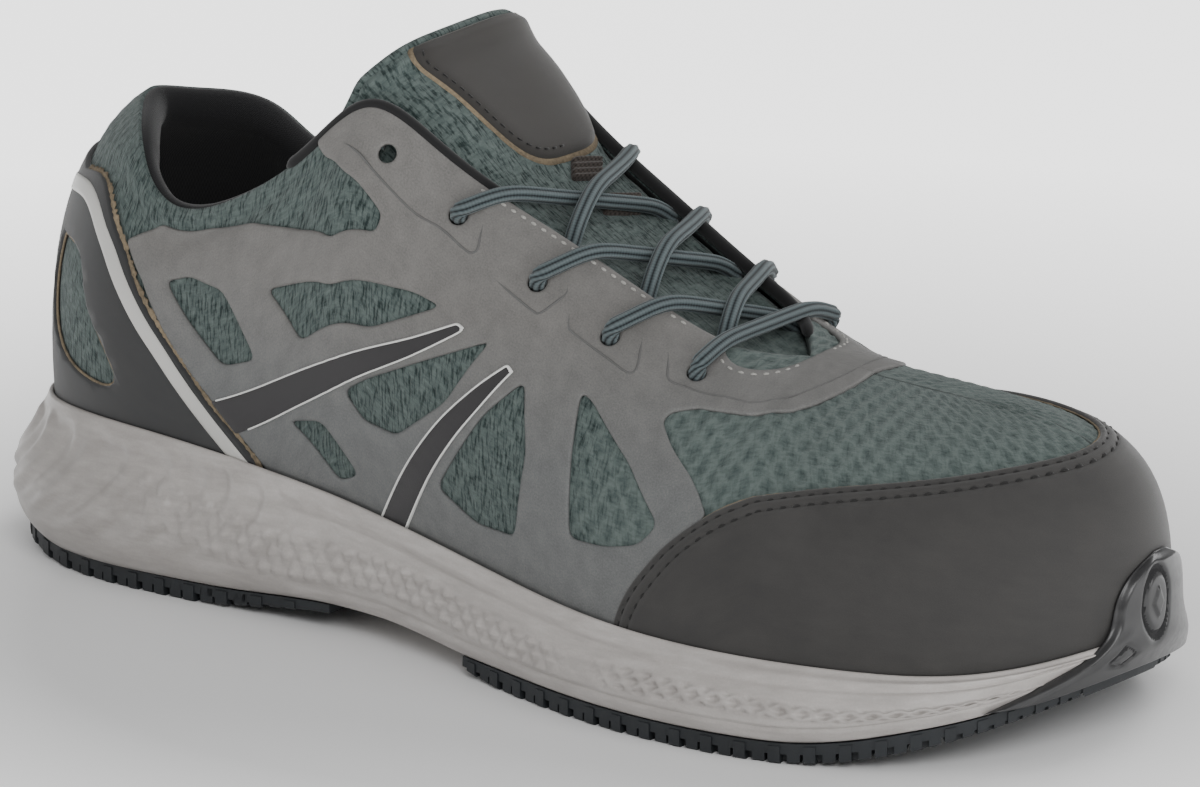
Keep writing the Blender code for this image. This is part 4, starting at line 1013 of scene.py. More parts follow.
# lamps: name, size, power, place
LAMPS = [("key", 1.1, 24, (1.5, -1.3, 1.5)), ("fill", 1.4, 3, (-1.6, -1.0, 1.1)),
         ("rim", 1.0, 14, (0.2, 1.6, 1.5)), ("toe", 0.7, 6, (1.9, 0.1, 0.7))]


def set_camera():
    back = np.array([math.sin(AZIMUTH)*math.cos(ELEVATION), -math.cos(AZIMUTH)*math.cos(ELEVATION),
                     math.sin(ELEVATION)])
    level = np.array([math.cos(AZIMUTH), math.sin(AZIMUTH), 0])
    up = np.cross(back, level)
    right = math.cos(ROLL)*level+math.sin(ROLL)*up
    top = -math.sin(ROLL)*level+math.cos(ROLL)*up
    data = bpy.data.cameras.new("camera")
    data.lens, data.sensor_width = FOCAL, 36
    data.clip_start, data.clip_end = 0.1, 50
    cam = bpy.data.objects.new("camera", data)
    bpy.context.scene.collection.objects.link(cam)
    place = AIM+SIDEWAYS*right+UPWARDS*top+back*DISTANCE
    turn = np.stack([right, top, back], -1)
    cam.matrix_world = Matrix([[*row, p] for row, p in zip(turn, place)]+[[0, 0, 0, 1]])
    bpy.context.scene.camera = cam


def set_stage():
    mesh = bpy.data.meshes.new("floor")
    r = FLOOR_REACH
    mesh.from_pydata([(-r, -r, 0), (r, -r, 0), (r, r, 0), (-r, r, 0)], [], [(0, 1, 2, 3)])
    floor = bpy.data.objects.new("floor", mesh)
    bpy.context.scene.collection.objects.link(floor)
    s = Shade("floor", (0.90, 0.90, 0.90), 0.9)
    x, y, _ = s.parts(s.body())
    away = s.math("SQRT", s.add(s.times(x, x), s.times(y, y)))
    s.put(s.main.inputs["Emission Color"], (1, 1, 1, 1))
    s.put(s.main.inputs["Emission Strength"], s.range(away, 120, 420, 0.0, FLOOR_GLOW))
    mesh.materials.append(s.finish(specular_ior_level=0.1))
    world = bpy.data.worlds.new("studio")
    bpy.context.scene.world = world
    world.use_nodes = True
    world.node_tree.nodes["Background"].inputs["Color"].default_value = (1, 1, 1, 1)
    world.node_tree.nodes["Background"].inputs["Strength"].default_value = WORLD_LIGHT
    for name, size, power, place in LAMPS:
        data = bpy.data.lights.new(name, "AREA")
        data.size, data.energy = size, power
        lamp = bpy.data.objects.new(name, data)
        lamp.location = place
        lamp.rotation_mode = "QUATERNION"
        lamp.rotation_quaternion = (Vector((0, 0, 0.05))-Vector(place)).to_track_quat("-Z", "Y")
        bpy.context.scene.collection.objects.link(lamp)


# the upper's knitted wall, with its lace holes
KNIT_COLUMNS, KNIT_ROWS = 290, 96
CELL_WIDE, CELL_HIGH = 4.6, 7.6
OPEN_RADIUS = 2.7*MM

# the inner face takes every sixth row, and all of them where the lace holes are
COARSE_STEP = 6
HOLES_FROM = 0.76


def knit_relief(place, share):
    """Soft staggered cells, deeper on the vamp."""
    uv = millimetres(place, share)
    bumps = np.cos(2*math.pi*uv[..., 0]/CELL_WIDE)*np.cos(2*math.pi*uv[..., 1]/CELL_HIGH)
    vamp = smooth((np.abs(wrap(place))-0.60)/0.06)
    return (0.10+0.16*vamp)*MM*bumps*smooth((1-share)/0.05)


def knit_upper():
    spacing = (ROUND_LENGTH[HALF:]-ROUND_LENGTH[HALF:][0])-(ROUND_LENGTH[:HALF+1]-ROUND_LENGTH[HALF])[::-1]
    sides = np.interp(np.linspace(0, spacing[-1], KNIT_COLUMNS+1), spacing, PLACES[HALF:])
    sides[np.abs(sides-THROAT_END).argmin()] = THROAT_END
    places = np.concatenate([sides, -sides[-2:0:-1]])
    count = len(places)
    shares = np.linspace(0, 1, KNIT_ROWS+1)
    coarse = [j for j in range(KNIT_ROWS+1) if j % COARSE_STEP == 0 or shares[j] > HOLES_FROM]
    p, s = np.meshgrid(places, shares, indexing="ij")
    outer = at(p, s, knit_relief(p, s))
    inner = at(p[:, coarse], s[:, coarse], -WALL)
    index = np.arange(count*(KNIT_ROWS+1)).reshape(count, KNIT_ROWS+1)
    below = np.arange(count*len(coarse)).reshape(count, len(coarse))+index.size
    for c in range(KNIT_COLUMNS+1, count):
        if sides[count-c] >= THROAT_END:
            index[c, -1], below[c, -1] = index[count-c, -1], below[count-c, -1]
    holes = [at(a*side, h) for a, h in EYELETS for side in (1, -1)]

    def quads(ids, points, rows):
        out = []
        for c in range(count):
            d = (c+1) % count
            middle = (points[c, :-1]+points[d, 1:])/2
            cut = np.zeros(len(middle), bool)
            for hole in holes:
                cut |= np.linalg.norm(middle-hole, axis=1) < OPEN_RADIUS
            for j in range(rows-1):
                if not cut[j]:
                    out.append([ids[c, j], ids[d, j], ids[d, j+1], ids[c, j+1]])
        return out

    top = quads(index, at(p, s), KNIT_ROWS+1)
    low = quads(below, at(p[:, coarse], s[:, coarse]), len(coarse))
    faces = top+[f[::-1] for f in low]
    twin = {int(index[c, j]): int(below[c, k]) for c in range(count) for k, j in enumerate(coarse)}
    walls = [[a, twin[a], twin[b], b] for a, b in open_edges(top)]
    kinds = [0]*len(top)+[1]*len(low)+[0]*len(walls)
    weave = millimetres(p, s)
    weave = np.concatenate([weave.reshape(-1, 2), weave[:, coarse].reshape(-1, 2)])
    verts = np.concatenate([outer.reshape(-1, 3), inner.reshape(-1, 3)])
    obj = make("upper_mesh", verts, faces+walls, [KNIT, LINING], weave=weave, kinds=kinds)
    clean(obj)
    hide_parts("upper")
    return obj


def clean(obj):
    """Weld what falls together and drop what has no size."""
    bm = bmesh.new()
    bm.from_mesh(obj.data)
    bmesh.ops.remove_doubles(bm, verts=bm.verts, dist=0.00001)
    bmesh.ops.delete(bm, geom=[v for v in bm.verts if not v.link_faces], context="VERTS")
    bm.to_mesh(obj.data)
    bm.free()


# overlays
def eyelet_hole(place, share):
    """Round outline of a lace hole on the skin."""
    ring = []
    up = look_up(SKIN_UP, place, share)
    u = np.cross(up, (0, 0, 1.0))
    u = u/np.linalg.norm(u)
    w = np.cross(up, u)
    for k in range(20):
        t = 2*math.pi*k/20
        spoke = (u*math.cos(t)+w*math.sin(t))*EYELET_RADIUS
        ring.append(np.array([place, share])+nudge(place, share, spoke))
    return ring


def cage():
    loop = CAGE_FRONT+CAGE_BACK
    halves = []
    for sign in (1, -1):
        side, *windows = [each if sign > 0 else mirror(each) for each in [loop]+CAGE_WINDOWS]
        halves.append((side, windows+[eyelet_hole(a*sign, h) for a, h in EYELETS]))
    obj = panel("film_cage", halves, FILM_BASE, FILM, FILM_GREY)
    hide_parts("side_cage")
    return obj


def beside(line, offsets):
    """Places and shares beside a line on the skin, at offsets towards its left."""
    where = at(*line.T)
    d = np.gradient(where, axis=0)
    across = unit(np.cross(look_up(SKIN_UP, *line.T), d))
    return [[np.array(q)+nudge(q[0], q[1], a*offset) for q, a in zip(line, across)] for offset in offsets]


# distance from the cap's edge and height of the nubuck there: two stitched grooves with a soft welt between
CAP_ROWS = [(1.05, 0.02), (1.5, -0.30), (1.95, 0.04), (2.7, 0.16), (3.4, 0.04), (3.85, -0.30),
            (4.3, 0.02), (5.6, 0.05)]
CAP_SEAMS = (1.5, 3.85)

# millimetres from the sole on the outer side where the cap's raw edge begins to show
RAW_FROM = 30


def cap():
    edge_line = curve(CAP_EDGE)
    line = skin_path(edge_line[4:-4], 1.2*MM, 1)
    rows = beside(line, [-d*MM for d, _ in CAP_ROWS])
    extra = [q for row in rows for q in row]
    lifts = [h*MM for (_, h), row in zip(CAP_ROWS, rows) for _ in row]
    obj = panel("nubuck_toe_cap", [(edge_line[::-1], [])], NUBUCK_BASE, PATCH, NUBUCK,
                radius=0.5*MM, spacing=3.0, ledge=0.6*MM, extra=extra, extra_lift=lifts)
    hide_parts("toe_cap")
    line = skin_path(edge_line, 1.0*MM)
    strip = edge_strip("cap_raw_edge", line[RAW_FROM:-1], 0.15*MM, 0.8*MM, 0.45*MM)


def counter():
    edge_line = curve(COUNTER_EDGE)
    loop = edge_line+mirror(edge_line)
    window = curve(COUNTER_WINDOW+COUNTER_WINDOW[:1], 3)[:-1]
    obj = panel("nubuck_heel_counter", [(loop, [window, mirror(window)])], NUBUCK_BASE, PATCH, COUNTER,
                radius=0.5*MM, spacing=3.0)
    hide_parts("heel_counter")
    for sign, name in ((1, "outer"), (-1, "inner")):
        line = skin_path(on_sign(edge_line, sign), 0.7*MM)
        edge_strip("counter_raw_edge_"+name, line, 0.20*MM, 1.9*MM, 0.65*MM, 0.5)
        ring = skin_path(on_sign(window+window[:2], sign), 0.9*MM, 1)
        edge_strip("counter_window_edge_"+name, ring, 0.2*MM, 0.9*MM, 0.6*MM, 0.12)


def edge_strip(name, line, drop, wide, high, frayed=0.25):
    """Frayed pale edge of the backing, showing along an overlay's edge."""
    rng = np.random.default_rng(7)
    path = at(*line.T, drop+high*0.5)
    radius = wide*0.5*(1+2*frayed*(rng.random(len(line))-0.5))
    up = look_up(SKIN_UP, *line.T)
    verts, faces, uv = tube(path, radius, 8, high/wide, up)
    return make(name, verts, faces, RAW_EDGE, weave=uv)


def blade():
    lines = []
    for name, loop in (("side_blade_dark", BLADE), ("side_lozenge_dark", LOZENGE)):
        edge_line = curve(loop[:5])+curve(loop[5:])
        obj = panel(name, [(edge_line, [])], FILM_BASE+FILM, BLADE_THICK, DARK_FILM,
                    radius=0.6*MM, spacing=2.4, edge=0.1*MM, ledge=0.3*MM)
        if loop is BLADE:
            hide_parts("side_blade")
        ring = np.array(fine(rounded(edge_line, 0.6*MM), 0.8*MM))
        # no pale line low down at the sole, nor where the dart runs in under the counter
        keep = ring[:, 1] > 0.09
        if loop is BLADE:
            keep &= ring[:, 0] > 0.270+0.22*(0.338-ring[:, 1])
        start = int(np.argmax(~keep))
        ring = np.roll(ring, -start, axis=0)[np.roll(keep, -start)]
        path = at(*ring.T, 1.05*MM)
        lines.append(tube(soften(path, 1), 0.52*MM, 6, 0.45))
    make("side_blade_outline", *join(lines)[:2], PALE_LINE)


def band():
    """Pale reflective band round the back and down both quarters."""
    path = BAND_PATH+on_sign(BAND_PATH[-2::-1], -1)
    line = skin_path(path, 1.2*MM, 3)
    up = look_up(SKIN_UP, *line.T)
    centre = at(*line.T, 1.55*MM)
    d = np.gradient(centre, axis=0)
    across = unit(np.cross(up, d))
    offsets = np.array([-0.5, -0.46, -0.3, 0, 0.3, 0.46, 0.5])*BAND_WIDTH
    rise = np.array([-0.25, 0.0, 0.06, 0.09, 0.06, 0.0, -0.25])*MM
    top = centre[:, None]+across[:, None]*offsets[None, :, None]+up[:, None]*rise[None, :, None]
    bottom = centre[:, None]+across[:, None]*offsets[None, :, None]-up[:, None]*0.55*MM
    verts, faces = slab(top, bottom)
    obj = outward_faces(make("reflective_tape", verts, faces, REFLECT))
    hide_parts("reflective_band")


def stitch_row(points, offset, pitch, length, radius, lift, sink=0.0):
    """Short rounded stitches along a line on the skin, moved sideways by offset."""
    line = skin_path(points, pitch/4)
    up = look_up(SKIN_UP, *line.T)
    centre = at(*line.T, lift)
    d = unit(np.gradient(centre, axis=0))
    across = np.cross(up, d)
    centre = centre+across*offset
    parts = []
    for k in range(2, len(line)-2, 4):
        t = np.linspace(-0.5, 0.5, 5)
        path = centre[k]+np.outer(t*length, d[k])-np.outer(4*t*t*radius*1.2+sink, up[k])
        size = radius*np.sqrt(np.maximum(1-(2*t)**2*0.75, 0.05))
        parts.append(tube(path, size, 6, 0.8, up[k]))
    return parts


def stitches():
    line = curve(CAP_EDGE)[6:-6]
    rows = []
    for seam in CAP_SEAMS:
        rows += stitch_row(line, -seam*MM, 3.1*MM, 2.0*MM, 0.36*MM, NUBUCK_BASE+PATCH-0.22*MM)
    make("toe_cap_stitches", *join(rows)[:2], THREAD)
    edge = [(a, 0.985) for a in np.linspace(0.43, 0.60, 12)]
    front = [(0.622, 0.955), (0.634, 0.915), (0.645, 0.885), (0.657, 0.865), (0.67, 0.856), (0.683, 0.868),
             (0.693, 0.90), (0.700, 0.945)]
    rows = []
    for sign in (1, -1):
        for path in (edge, front):
            rows += stitch_row(on_sign(path, sign), 0, 2.7*MM, 1.7*MM, 0.34*MM, 0.88*MM)
    make("throat_stitches", *join(rows)[:2], PALE_THREAD)


# embossed outlines beside the lace holes, as places along the side and shares up it
TABS = [
    [(0.3458, 0.922), (0.361, 0.890), (0.3775, 0.860), (0.4017, 0.843), (0.42, 0.85), (0.436, 0.840),
     (0.4425, 0.838), (0.446, 0.853), (0.4442, 0.888), (0.4425, 0.917)],
    [(0.4642, 0.812), (0.48, 0.80), (0.4958, 0.79), (0.5005, 0.795), (0.5058, 0.833), (0.51, 0.873),
     (0.5083, 0.895)],
    [(0.518, 0.835), (0.5220, 0.80), (0.5285, 0.793), (0.5542, 0.78), (0.571, 0.770), (0.577, 0.777),
     (0.5775, 0.807), (0.5708, 0.878)],
    [(0.5933, 0.88), (0.5985, 0.843), (0.604, 0.803), (0.614, 0.797), (0.6233, 0.795), (0.6525, 0.772),
     (0.6717, 0.75), (0.685, 0.747), (0.7042, 0.77), (0.7217, 0.833), (0.7383, 0.915), (0.750, 1.0)],
]


def emboss():
    lines = []
    for tab in TABS:
        for sign in (1, -1):
            line = skin_path(on_sign(curve(tab, 4), sign), 0.8*MM, 1)
            path = at(*line.T, 0.86*MM)
            size = 0.27*MM*smooth(from_ends(line)/6+0.1)
            lines.append(tube(path, size, 6, 0.4, look_up(SKIN_UP, *line.T)))
    make("film_embossing", *join(lines)[:2], EMBOSS)


# collar: last place of its padding, and share of the padding's depth by share of the ribs
COLLAR_END = 0.335
PAD_SHAPE = [(0.40, 0.10), (0.50, 0.35), (0.60, 0.62), (0.70, 0.85), (0.80, 1.0), (0.88, 1.02), (0.95, 0.98)]


def lining():
    """Padded collar: up the inside of the wall, over the top in a soft roll."""
    places = np.linspace(-COLLAR_END, COLLAR_END, 170)
    fade = 1-0.55*smooth((np.abs(places)-0.20)/0.13)
    rows_in = [at(places, h, -(WALL+0.2*MM+PAD_THICK*t*fade)) for h, t in PAD_SHAPE]
    edge_out = at(places, 0.995, -0.6*MM)
    rise = unit(at(places, 1.0)-at(places, 0.90))
    inside = rows_in[-1]
    roll = ROLL_RISE*(1-0.45*smooth((np.abs(places)-0.16)/0.1))
    mid, half = (inside+edge_out)/2, (edge_out-inside)/2
    arc = [mid-half*math.cos(angle)+rise*(roll*math.sin(angle)**0.8)[:, None]
           for angle in math.pi*np.linspace(0, 1, 9)[1:-1]]
    front = np.array(rows_in+arc+[edge_out])
    back_rows = [at(places, h, -(WALL-0.1*MM)) for h, _ in PAD_SHAPE]
    lower = at(places, 0.95, -1.2*MM)
    back_rows += [lower+(edge_out-lower)*0.5*k/8 for k in range(1, 8)]+[lower+(edge_out-lower)*0.6]
    back = np.array(back_rows)
    verts, faces = slab(front, back)
    length = millimetres(places, 0.9)[:, 0]
    uv = np.stack([np.broadcast_to(length, front.shape[:2]),
                   np.broadcast_to(np.arange(len(front))[:, None]*3.0, front.shape[:2])], -1).reshape(-1, 2)
    obj = outward_faces(make("collar_pad", verts, faces, LINING, weave=np.concatenate([uv, uv])))
    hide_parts("collar_lining")


BINDING_RADIUS = 1.35*MM
BINDING_ENDS = ((1, 0.447), (-1, 0.655))


def bindings():
    """Black turned edge along the collar's front and the throat."""
    parts = []
    for sign, last in BINDING_ENDS:
        line = skin_path([(sign*a, 0.999) for a in np.linspace(0.30, last, 16)], 1.2*MM)
        edge = at(line[:, 0], 1.0, -0.35*MM)
        rise = unit(edge-at(line[:, 0], 0.97, -0.35*MM))
        taper = BINDING_RADIUS*smooth(from_ends(line)/3+0.35)
        parts.append(tube(edge+rise*0.5*MM, taper, 12, 1.1, look_up(SKIN_UP, *line.T)))
    make("throat_binding", *join(parts)[:2], BINDING)


# tongue
TONGUE_COLUMNS, TONGUE_ROWS = 61, 60
TONGUE_TAIL = 6
FREE_ROWS = 11
TONGUE_START, TONGUE_END = 0.36, 0.665


def bridge(place, start, lift, bulge, count):
    """Curve over the throat at one place, evenly spaced: under both edges and bulged between them."""
    shares = start+(1-start)*np.linspace(0, 1, 9)
    left = at(place, shares, lift)
    right = at(-place, shares, lift)
    a, b = left[-1], right[-1]
    w = np.linspace(-1, 1, 27)[1:-1]
    arch = a+(b-a)*((w+1)/2)[:, None]+np.outer(bulge*(1+0.30*w)*(1-np.abs(w)**5), (0.55, 0, 0.83))
    arch[:, 1] += 1.3*max(bulge, 0)*np.maximum(w, 0)**3*(1-w**8)
    path = soften(np.concatenate([left, arch, right[::-1]]), 4)
    length = run_lengths(path)
    want = np.linspace(0, length[-1], count)
    return np.stack([np.interp(want, length, path[:, i]) for i in range(3)], -1)


# how far the tongue stands over the line between the throat's edges, by place
TONGUE_BULGE = [(0.36, 8.0), (0.38, 7.4), (0.40, 5.8), (0.42, 3.4), (0.44, 1.2), (0.46, 0.0), (0.50, -0.9),
                (0.56, -1.2), (0.62, -1.0), (0.665, -0.6)]


# share of the ribs under which the tongue's sides run in, by place
TONGUE_TUCK = [(0.36, 0.90), (0.44, 0.86), (0.56, 0.82), (0.665, 0.78)]


def tongue_surface():
    """Top face of the tongue, from its free end to the front of the throat."""
    rows = []
    for a in np.linspace(TONGUE_START, TONGUE_END, TONGUE_ROWS):
        s = np.interp(a, *zip(*TONGUE_TUCK))
        low = -(WALL+1.0*MM)-0.7*MM*float(smooth((a-0.41)/0.05))-0.5*MM*float(smooth((a-0.59)/0.07))
        bulge = np.interp(a, *zip(*TONGUE_BULGE))*MM
        rows.append(bridge(a, s, low, bulge, TONGUE_COLUMNS))
    w = np.abs(np.linspace(-1, 1, TONGUE_COLUMNS))
    free = []
    for e in np.linspace(1, 0, FREE_ROWS+1)[:-1]:
        back, up = -(1.6+9.5*w**3)*MM*e, (7.4-7.0*w**4)*MM*e**0.8
        free.append(rows[0]+np.stack([back, np.zeros(len(w)), up], -1))
    grid = np.array(free+rows)
    # no kink where the free end leaves the throat
    ease(grid[3:23], 12)
    return grid


TONGUE = tongue_surface()


def grid_up(grid):
    n = unit(np.cross(np.gradient(grid, axis=0), np.gradient(grid, axis=1)))
    return n if n[..., 2].mean() > 0 else -n


TONGUE_UP = grid_up(TONGUE)


def grid_weave(grid):
    rows = run_lengths(grid[:, grid.shape[1]//2])
    cols = run_lengths(grid[grid.shape[0]//2])
    v, u = np.meshgrid(rows, cols, indexing="ij")
    return np.stack([u, v], -1)/MM


def tongue_puff(row, column):
    """Height of the padding over the tongue's face."""
    row, w = np.asarray(row, float), 2*np.asarray(column, float)-1
    return 0.9*MM*(1-w**4)*smooth(row/0.05)-0.3*MM*(1-smooth(row/0.03))


def tongue():
    rows, cols = TONGUE.shape[:2]
    w = np.linspace(-1, 1, cols)
    r = np.arange(rows+TONGUE_TAIL)/(rows-1)
    onward = (TONGUE[-1]-TONGUE[-4])/3-np.array([0, 0, 0.25*MM])
    grid = np.concatenate([TONGUE]+[(TONGUE[-1]+onward*k)[None] for k in range(1, TONGUE_TAIL+1)])
    face_up = np.concatenate([TONGUE_UP]+[TONGUE_UP[-1:]]*TONGUE_TAIL)
    uv = grid_weave(grid)
    puff = tongue_puff(r[:, None], ((w+1)/2)[None, :])
    puff = puff+0.12*MM*np.cos(2*math.pi*uv[..., 0]/CELL_WIDE)*np.cos(2*math.pi*uv[..., 1]/CELL_HIGH)
    thick = TONGUE_THICK*(1-0.55*np.abs(w)**4)[None, :]*(0.55+0.45*smooth(r/0.05))[:, None]
    top = grid+face_up*puff[..., None]
    under = grid-face_up*thick[..., None]
    verts, faces = slab(top, under)
    n = (len(grid)-1)*(cols-1)
    kinds = [0]*n+[1]*(len(faces)-n)
    flat_uv = uv.reshape(-1, 2)
    obj = outward_faces(make("tongue_pad", verts, faces, [KNIT, LINING],
                             weave=np.concatenate([flat_uv, flat_uv]), kinds=kinds))
    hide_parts("tongue")
    ring = [(i, 0) for i in range(24, -1, -1)]+[(0, j) for j in range(1, cols)]
    ring += [(i, cols-1) for i in range(1, 24)]
    path = np.array([top[i, j]*0.5+under[i, j]*0.5 for i, j in ring])
    path = resample(soften(path, 2), 1.2*MM)
    verts, faces, weave = tube(path, BINDING_RADIUS, 12)
    make("tongue_edge", verts, faces, KNIT, weave=weave)
    return obj


def on_tongue(row, column):
    """Point and outward direction on the tongue, by row and column shares."""
    rows, cols = TONGUE.shape[:2]
    r, c = float(clamp(row))*(rows-1), float(clamp(column))*(cols-1)
    i, j = min(int(r), rows-2), min(int(c), cols-2)
    f, g = r-i, c-j
    pick = [(grid[i, j]*(1-f)+grid[i+1, j]*f)*(1-g)+(grid[i, j+1]*(1-f)+grid[i+1, j+1]*f)*g
            for grid in (TONGUE, TONGUE_UP)]
    return pick[0]+pick[1]*tongue_puff(row, column), pick[1]


def rounded_size(a, b, roundness):
    """How far a direction reaches in a square of this roundness, as a divisor."""
    return (abs(a)**roundness+abs(b)**roundness)**(1/roundness)


def between(q, r, c):
    """Place between four corners, by shares down and across."""
    return (q[0]*(1-r)+q[3]*r)*(1-c)+(q[1]*(1-r)+q[2]*r)*c


def patch_on_tongue(name, corners, thick, mat, grow=0.0, roundness=7.0, ribs=0):
    """Flat piece lying on the tongue between four corners, given by row and column shares."""
    q = np.array(corners, float)
    q = q.mean(0)+(q-q.mean(0))*(1+grow)
    n = 30
    top, low = [], []
    for a in np.linspace(-1, 1, n):
        top_row, low_row = [], []
        for b in np.linspace(-1, 1, n):
            size = max(rounded_size(a, b, roundness), 1e-9)
            limit = max(abs(a), abs(b))
            r, c = (a*limit/size+1)/2, (b*limit/size+1)/2
            base, up = on_tongue(*between(q, r, c))
            edge = float(smooth((1-limit)/0.10))
            rib = 0.22*MM*math.cos(math.pi*(r*2*ribs+1)) if ribs else 0
            top_row.append(base+up*(thick*(0.45+0.55*edge)+rib))
            low_row.append(base-up*1.6*MM)
        top.append(top_row)
        low.append(low_row)
    top, low = np.array(top), np.array(low)
    verts, faces = slab(top, low)
    uv = grid_weave(top).reshape(-1, 2)
    return outward_faces(make(name, verts, faces, mat, weave=np.concatenate([uv, uv])))


LABEL_CORNERS = ((-0.04, 0.235), (-0.04, 0.80), (0.352, 0.85), (0.352, 0.37))
LOOP_CORNERS = (((0.357, 0.608), (0.371, 0.754), (0.411, 0.675), (0.396, 0.537)),
                ((0.439, 0.613), (0.464, 0.783), (0.504, 0.692), (0.479, 0.517)))


LABEL_ROUND = 3.6


def tongue_trim():
    back = patch_on_tongue("label_backing", LABEL_CORNERS, 0.5*MM, RAW_EDGE, grow=0.048,
                           roundness=LABEL_ROUND)
    obj = patch_on_tongue("tongue_patch", LABEL_CORNERS, 1.3*MM, LABEL, roundness=LABEL_ROUND)
    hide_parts("tongue_label")
    seam = []
    q = np.array(LABEL_CORNERS)
    for angle in np.linspace(0.30, 1.02, 120)*math.pi:
        a, b = -math.cos(angle), -math.sin(angle)
        size = 0.93/rounded_size(a, b, LABEL_ROUND)
        r, c = (a*size+1)/2, (b*size+1)/2
        base, up = on_tongue(*between(q, r, c))
        seam.append(base+up*1.22*MM)
    seam = resample(np.array(seam), 0.6*MM)
    dots = [tube(seam[k:k+3], 0.24*MM, 6) for k in range(0, len(seam)-3, 4)]
    make("label_stitches", *join(dots)[:2], THREAD)
    for k, corners in enumerate(LOOP_CORNERS):
        loop = patch_on_tongue("lace_loop_%d" % (k+1), corners, 1.3*MM, WEBBING, ribs=4)
        if k == 0:
            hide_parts("lace_loop")


# laces
LACE_LIFT = FILM_BASE+FILM+0.3*MM+LACE_RADIUS


def tree_of(obj):
    mesh = obj.data
    return BVHTree.FromPolygons([tuple(MIDDLE+v.co) for v in mesh.vertices],
                                [p.vertices for p in mesh.polygons])


def taut(line, near, far, over):
    """Lace line in plan, laid over the pieces and laces that lie below it and pulled tight."""
    line = resample(line, 0.5*MM)
    t = np.linspace(0, 1, len(line))
    for k, p in enumerate(line[1:-1], 1):
        for tree in (near if t[k] < 0.5 else far):
            hit = tree.ray_cast(Vector((p[0], p[1], 0.3)), Vector((0, 0, -1)))[0]
            if hit is not None:
                line[k, 2] = max(line[k, 2], hit.z+LACE_RADIUS*1.02)
    for other in over:
        d = np.linalg.norm(line[:, None, :2]-other[None, :, :2], axis=-1)
        apart, which = d.min(1), d.argmin(1)
        top = other[which, 2]+np.sqrt(np.maximum((2*LACE_RADIUS)**2-apart**2, 0))
        line[:, 2] = np.where(apart < 2*LACE_RADIUS, np.maximum(line[:, 2], top), line[:, 2])
    hull = []
    for k in range(len(line)):
        while len(hull) > 1:
            a, b = hull[-2], hull[-1]
            if (line[b, 2]-line[a, 2])*(t[k]-t[a]) > (line[k, 2]-line[a, 2])*(t[b]-t[a]):
                break
            hull.pop()
        hull.append(k)
    line[:, 2] = np.interp(t, t[hull], line[hull, 2])
    ease(line, 90)
    return line


def lace_path(number, side, target, trees, over=(), both=False):
    """Lace from a hole over the throat, down the far hole or under the far edge beside the next hole."""
    a, h = EYELETS[number]
    b, hb = EYELETS[target]
    tongue_tree, cage_tree, wall_tree = trees
    everything = (tongue_tree, cage_tree, wall_tree)
    start = at(a*side, h+(1-h)*0.10, LACE_LIFT)
    if both:
        end = at(-b*side, hb+(1-hb)*0.10, LACE_LIFT)
        line = taut([start, end], everything, everything, over)
        tail = [at(-b*side, hb, 0.2*MM), at(-b*side, hb, -4.0*MM)]
    else:
        far = b+LACE_DIP
        end = at(-far*side, 0.995, -WALL-0.6*LACE_RADIUS)
        edge = at((a+LACE_LEAD)*side, 1.0)
        start[2] = start[2]-0.2*MM
        edge[2] = min(edge[2], start[2])
        line = taut(soften(np.array([start, edge, end]), 4), everything, (tongue_tree,), over)
        tail = [at(-far*side, 0.95, -WALL-LACE_RADIUS-0.6*MM),
                at(-far*side, 0.90, -WALL-LACE_RADIUS-0.8*MM)]
    head = [at(a*side, h, -4.0*MM), at(a*side, h, 0.2*MM)]
    path = resample(np.array(head+list(line)+tail), 1.5*MM)
    return resample(soften(path, 4), 0.7*MM)


def lace_piece(name, paths):
    parts = [tube(path, LACE_RADIUS, 28, 0.9, ribs=LACE_RIBS, rib_depth=0.07) for path in paths]
    verts, faces, uv = join(parts)
    obj = make(name, verts, faces, CORD, weave=uv)
    return obj


def laces(trees):
    bar = lace_piece("lace_front_bar", [lace_path(4, 1, 4, trees, both=True)])
    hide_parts("lace_bar")
    for number in (1, 2, 3):
        under = lace_path(number, 1, number+1, trees)
        over = lace_path(number, -1, number+1, trees, [under])
        piece = lace_piece("lace_crossing_%d" % number, [under, over])
        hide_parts("lace_cross_%d" % number)


# sole
SOLE_COLUMNS = 860


def rim_height(share):
    return spline(*zip(*RIM), clamp(share))*MM


def end_rise(share):
    """Toe spring and heel bevel over the floor."""
    toe = TOE_SPRING*np.clip((share-SPRING_START)/SPRING_RUN, 0, 1.3)**2
    return toe+HEEL_BEVEL*np.clip((BEVEL_START-share)/BEVEL_RUN, 0, 1.5)**1.5


def over_arch(share, start, rise, stop, fall):
    """1 at the arch, 0 at heel and forefoot."""
    return smooth((share-start)/rise)*(1-smooth((share-stop)/fall))


def ground(x):
    """Height of the tread's underside."""
    share = x/LAST_LENGTH
    return end_rise(share)+ARCH_LIFT*over_arch(share, 0.20, 0.16, 0.42, 0.14)


def foam_bottom(x):
    """Height of the foam's underside, on top of the rubber."""
    share = x/LAST_LENGTH
    arch = 0.42*ARCH_LIFT*over_arch(share, 0.22, 0.14, 0.40, 0.12)
    return RUBBER-1.2*MM*smooth((share-0.90)/0.08)+end_rise(share)+arch


def flare(share, which):
    """How far the foam stands out past the foot line; which is a column of FLARE."""
    wide = spline([r[0] for r in FLARE], [r[which] for r in FLARE], clamp(share))
    return wide-TOE_TRIM*smooth((share-0.93)/0.07)


def round_places(count):
    """Signed places at even steps round the foot line."""
    p = np.linspace(-1, 1, 4001)
    line = foot(p)
    length = run_lengths(line)
    return np.interp(np.linspace(0, length[-1], count+1)[:-1], length, p)


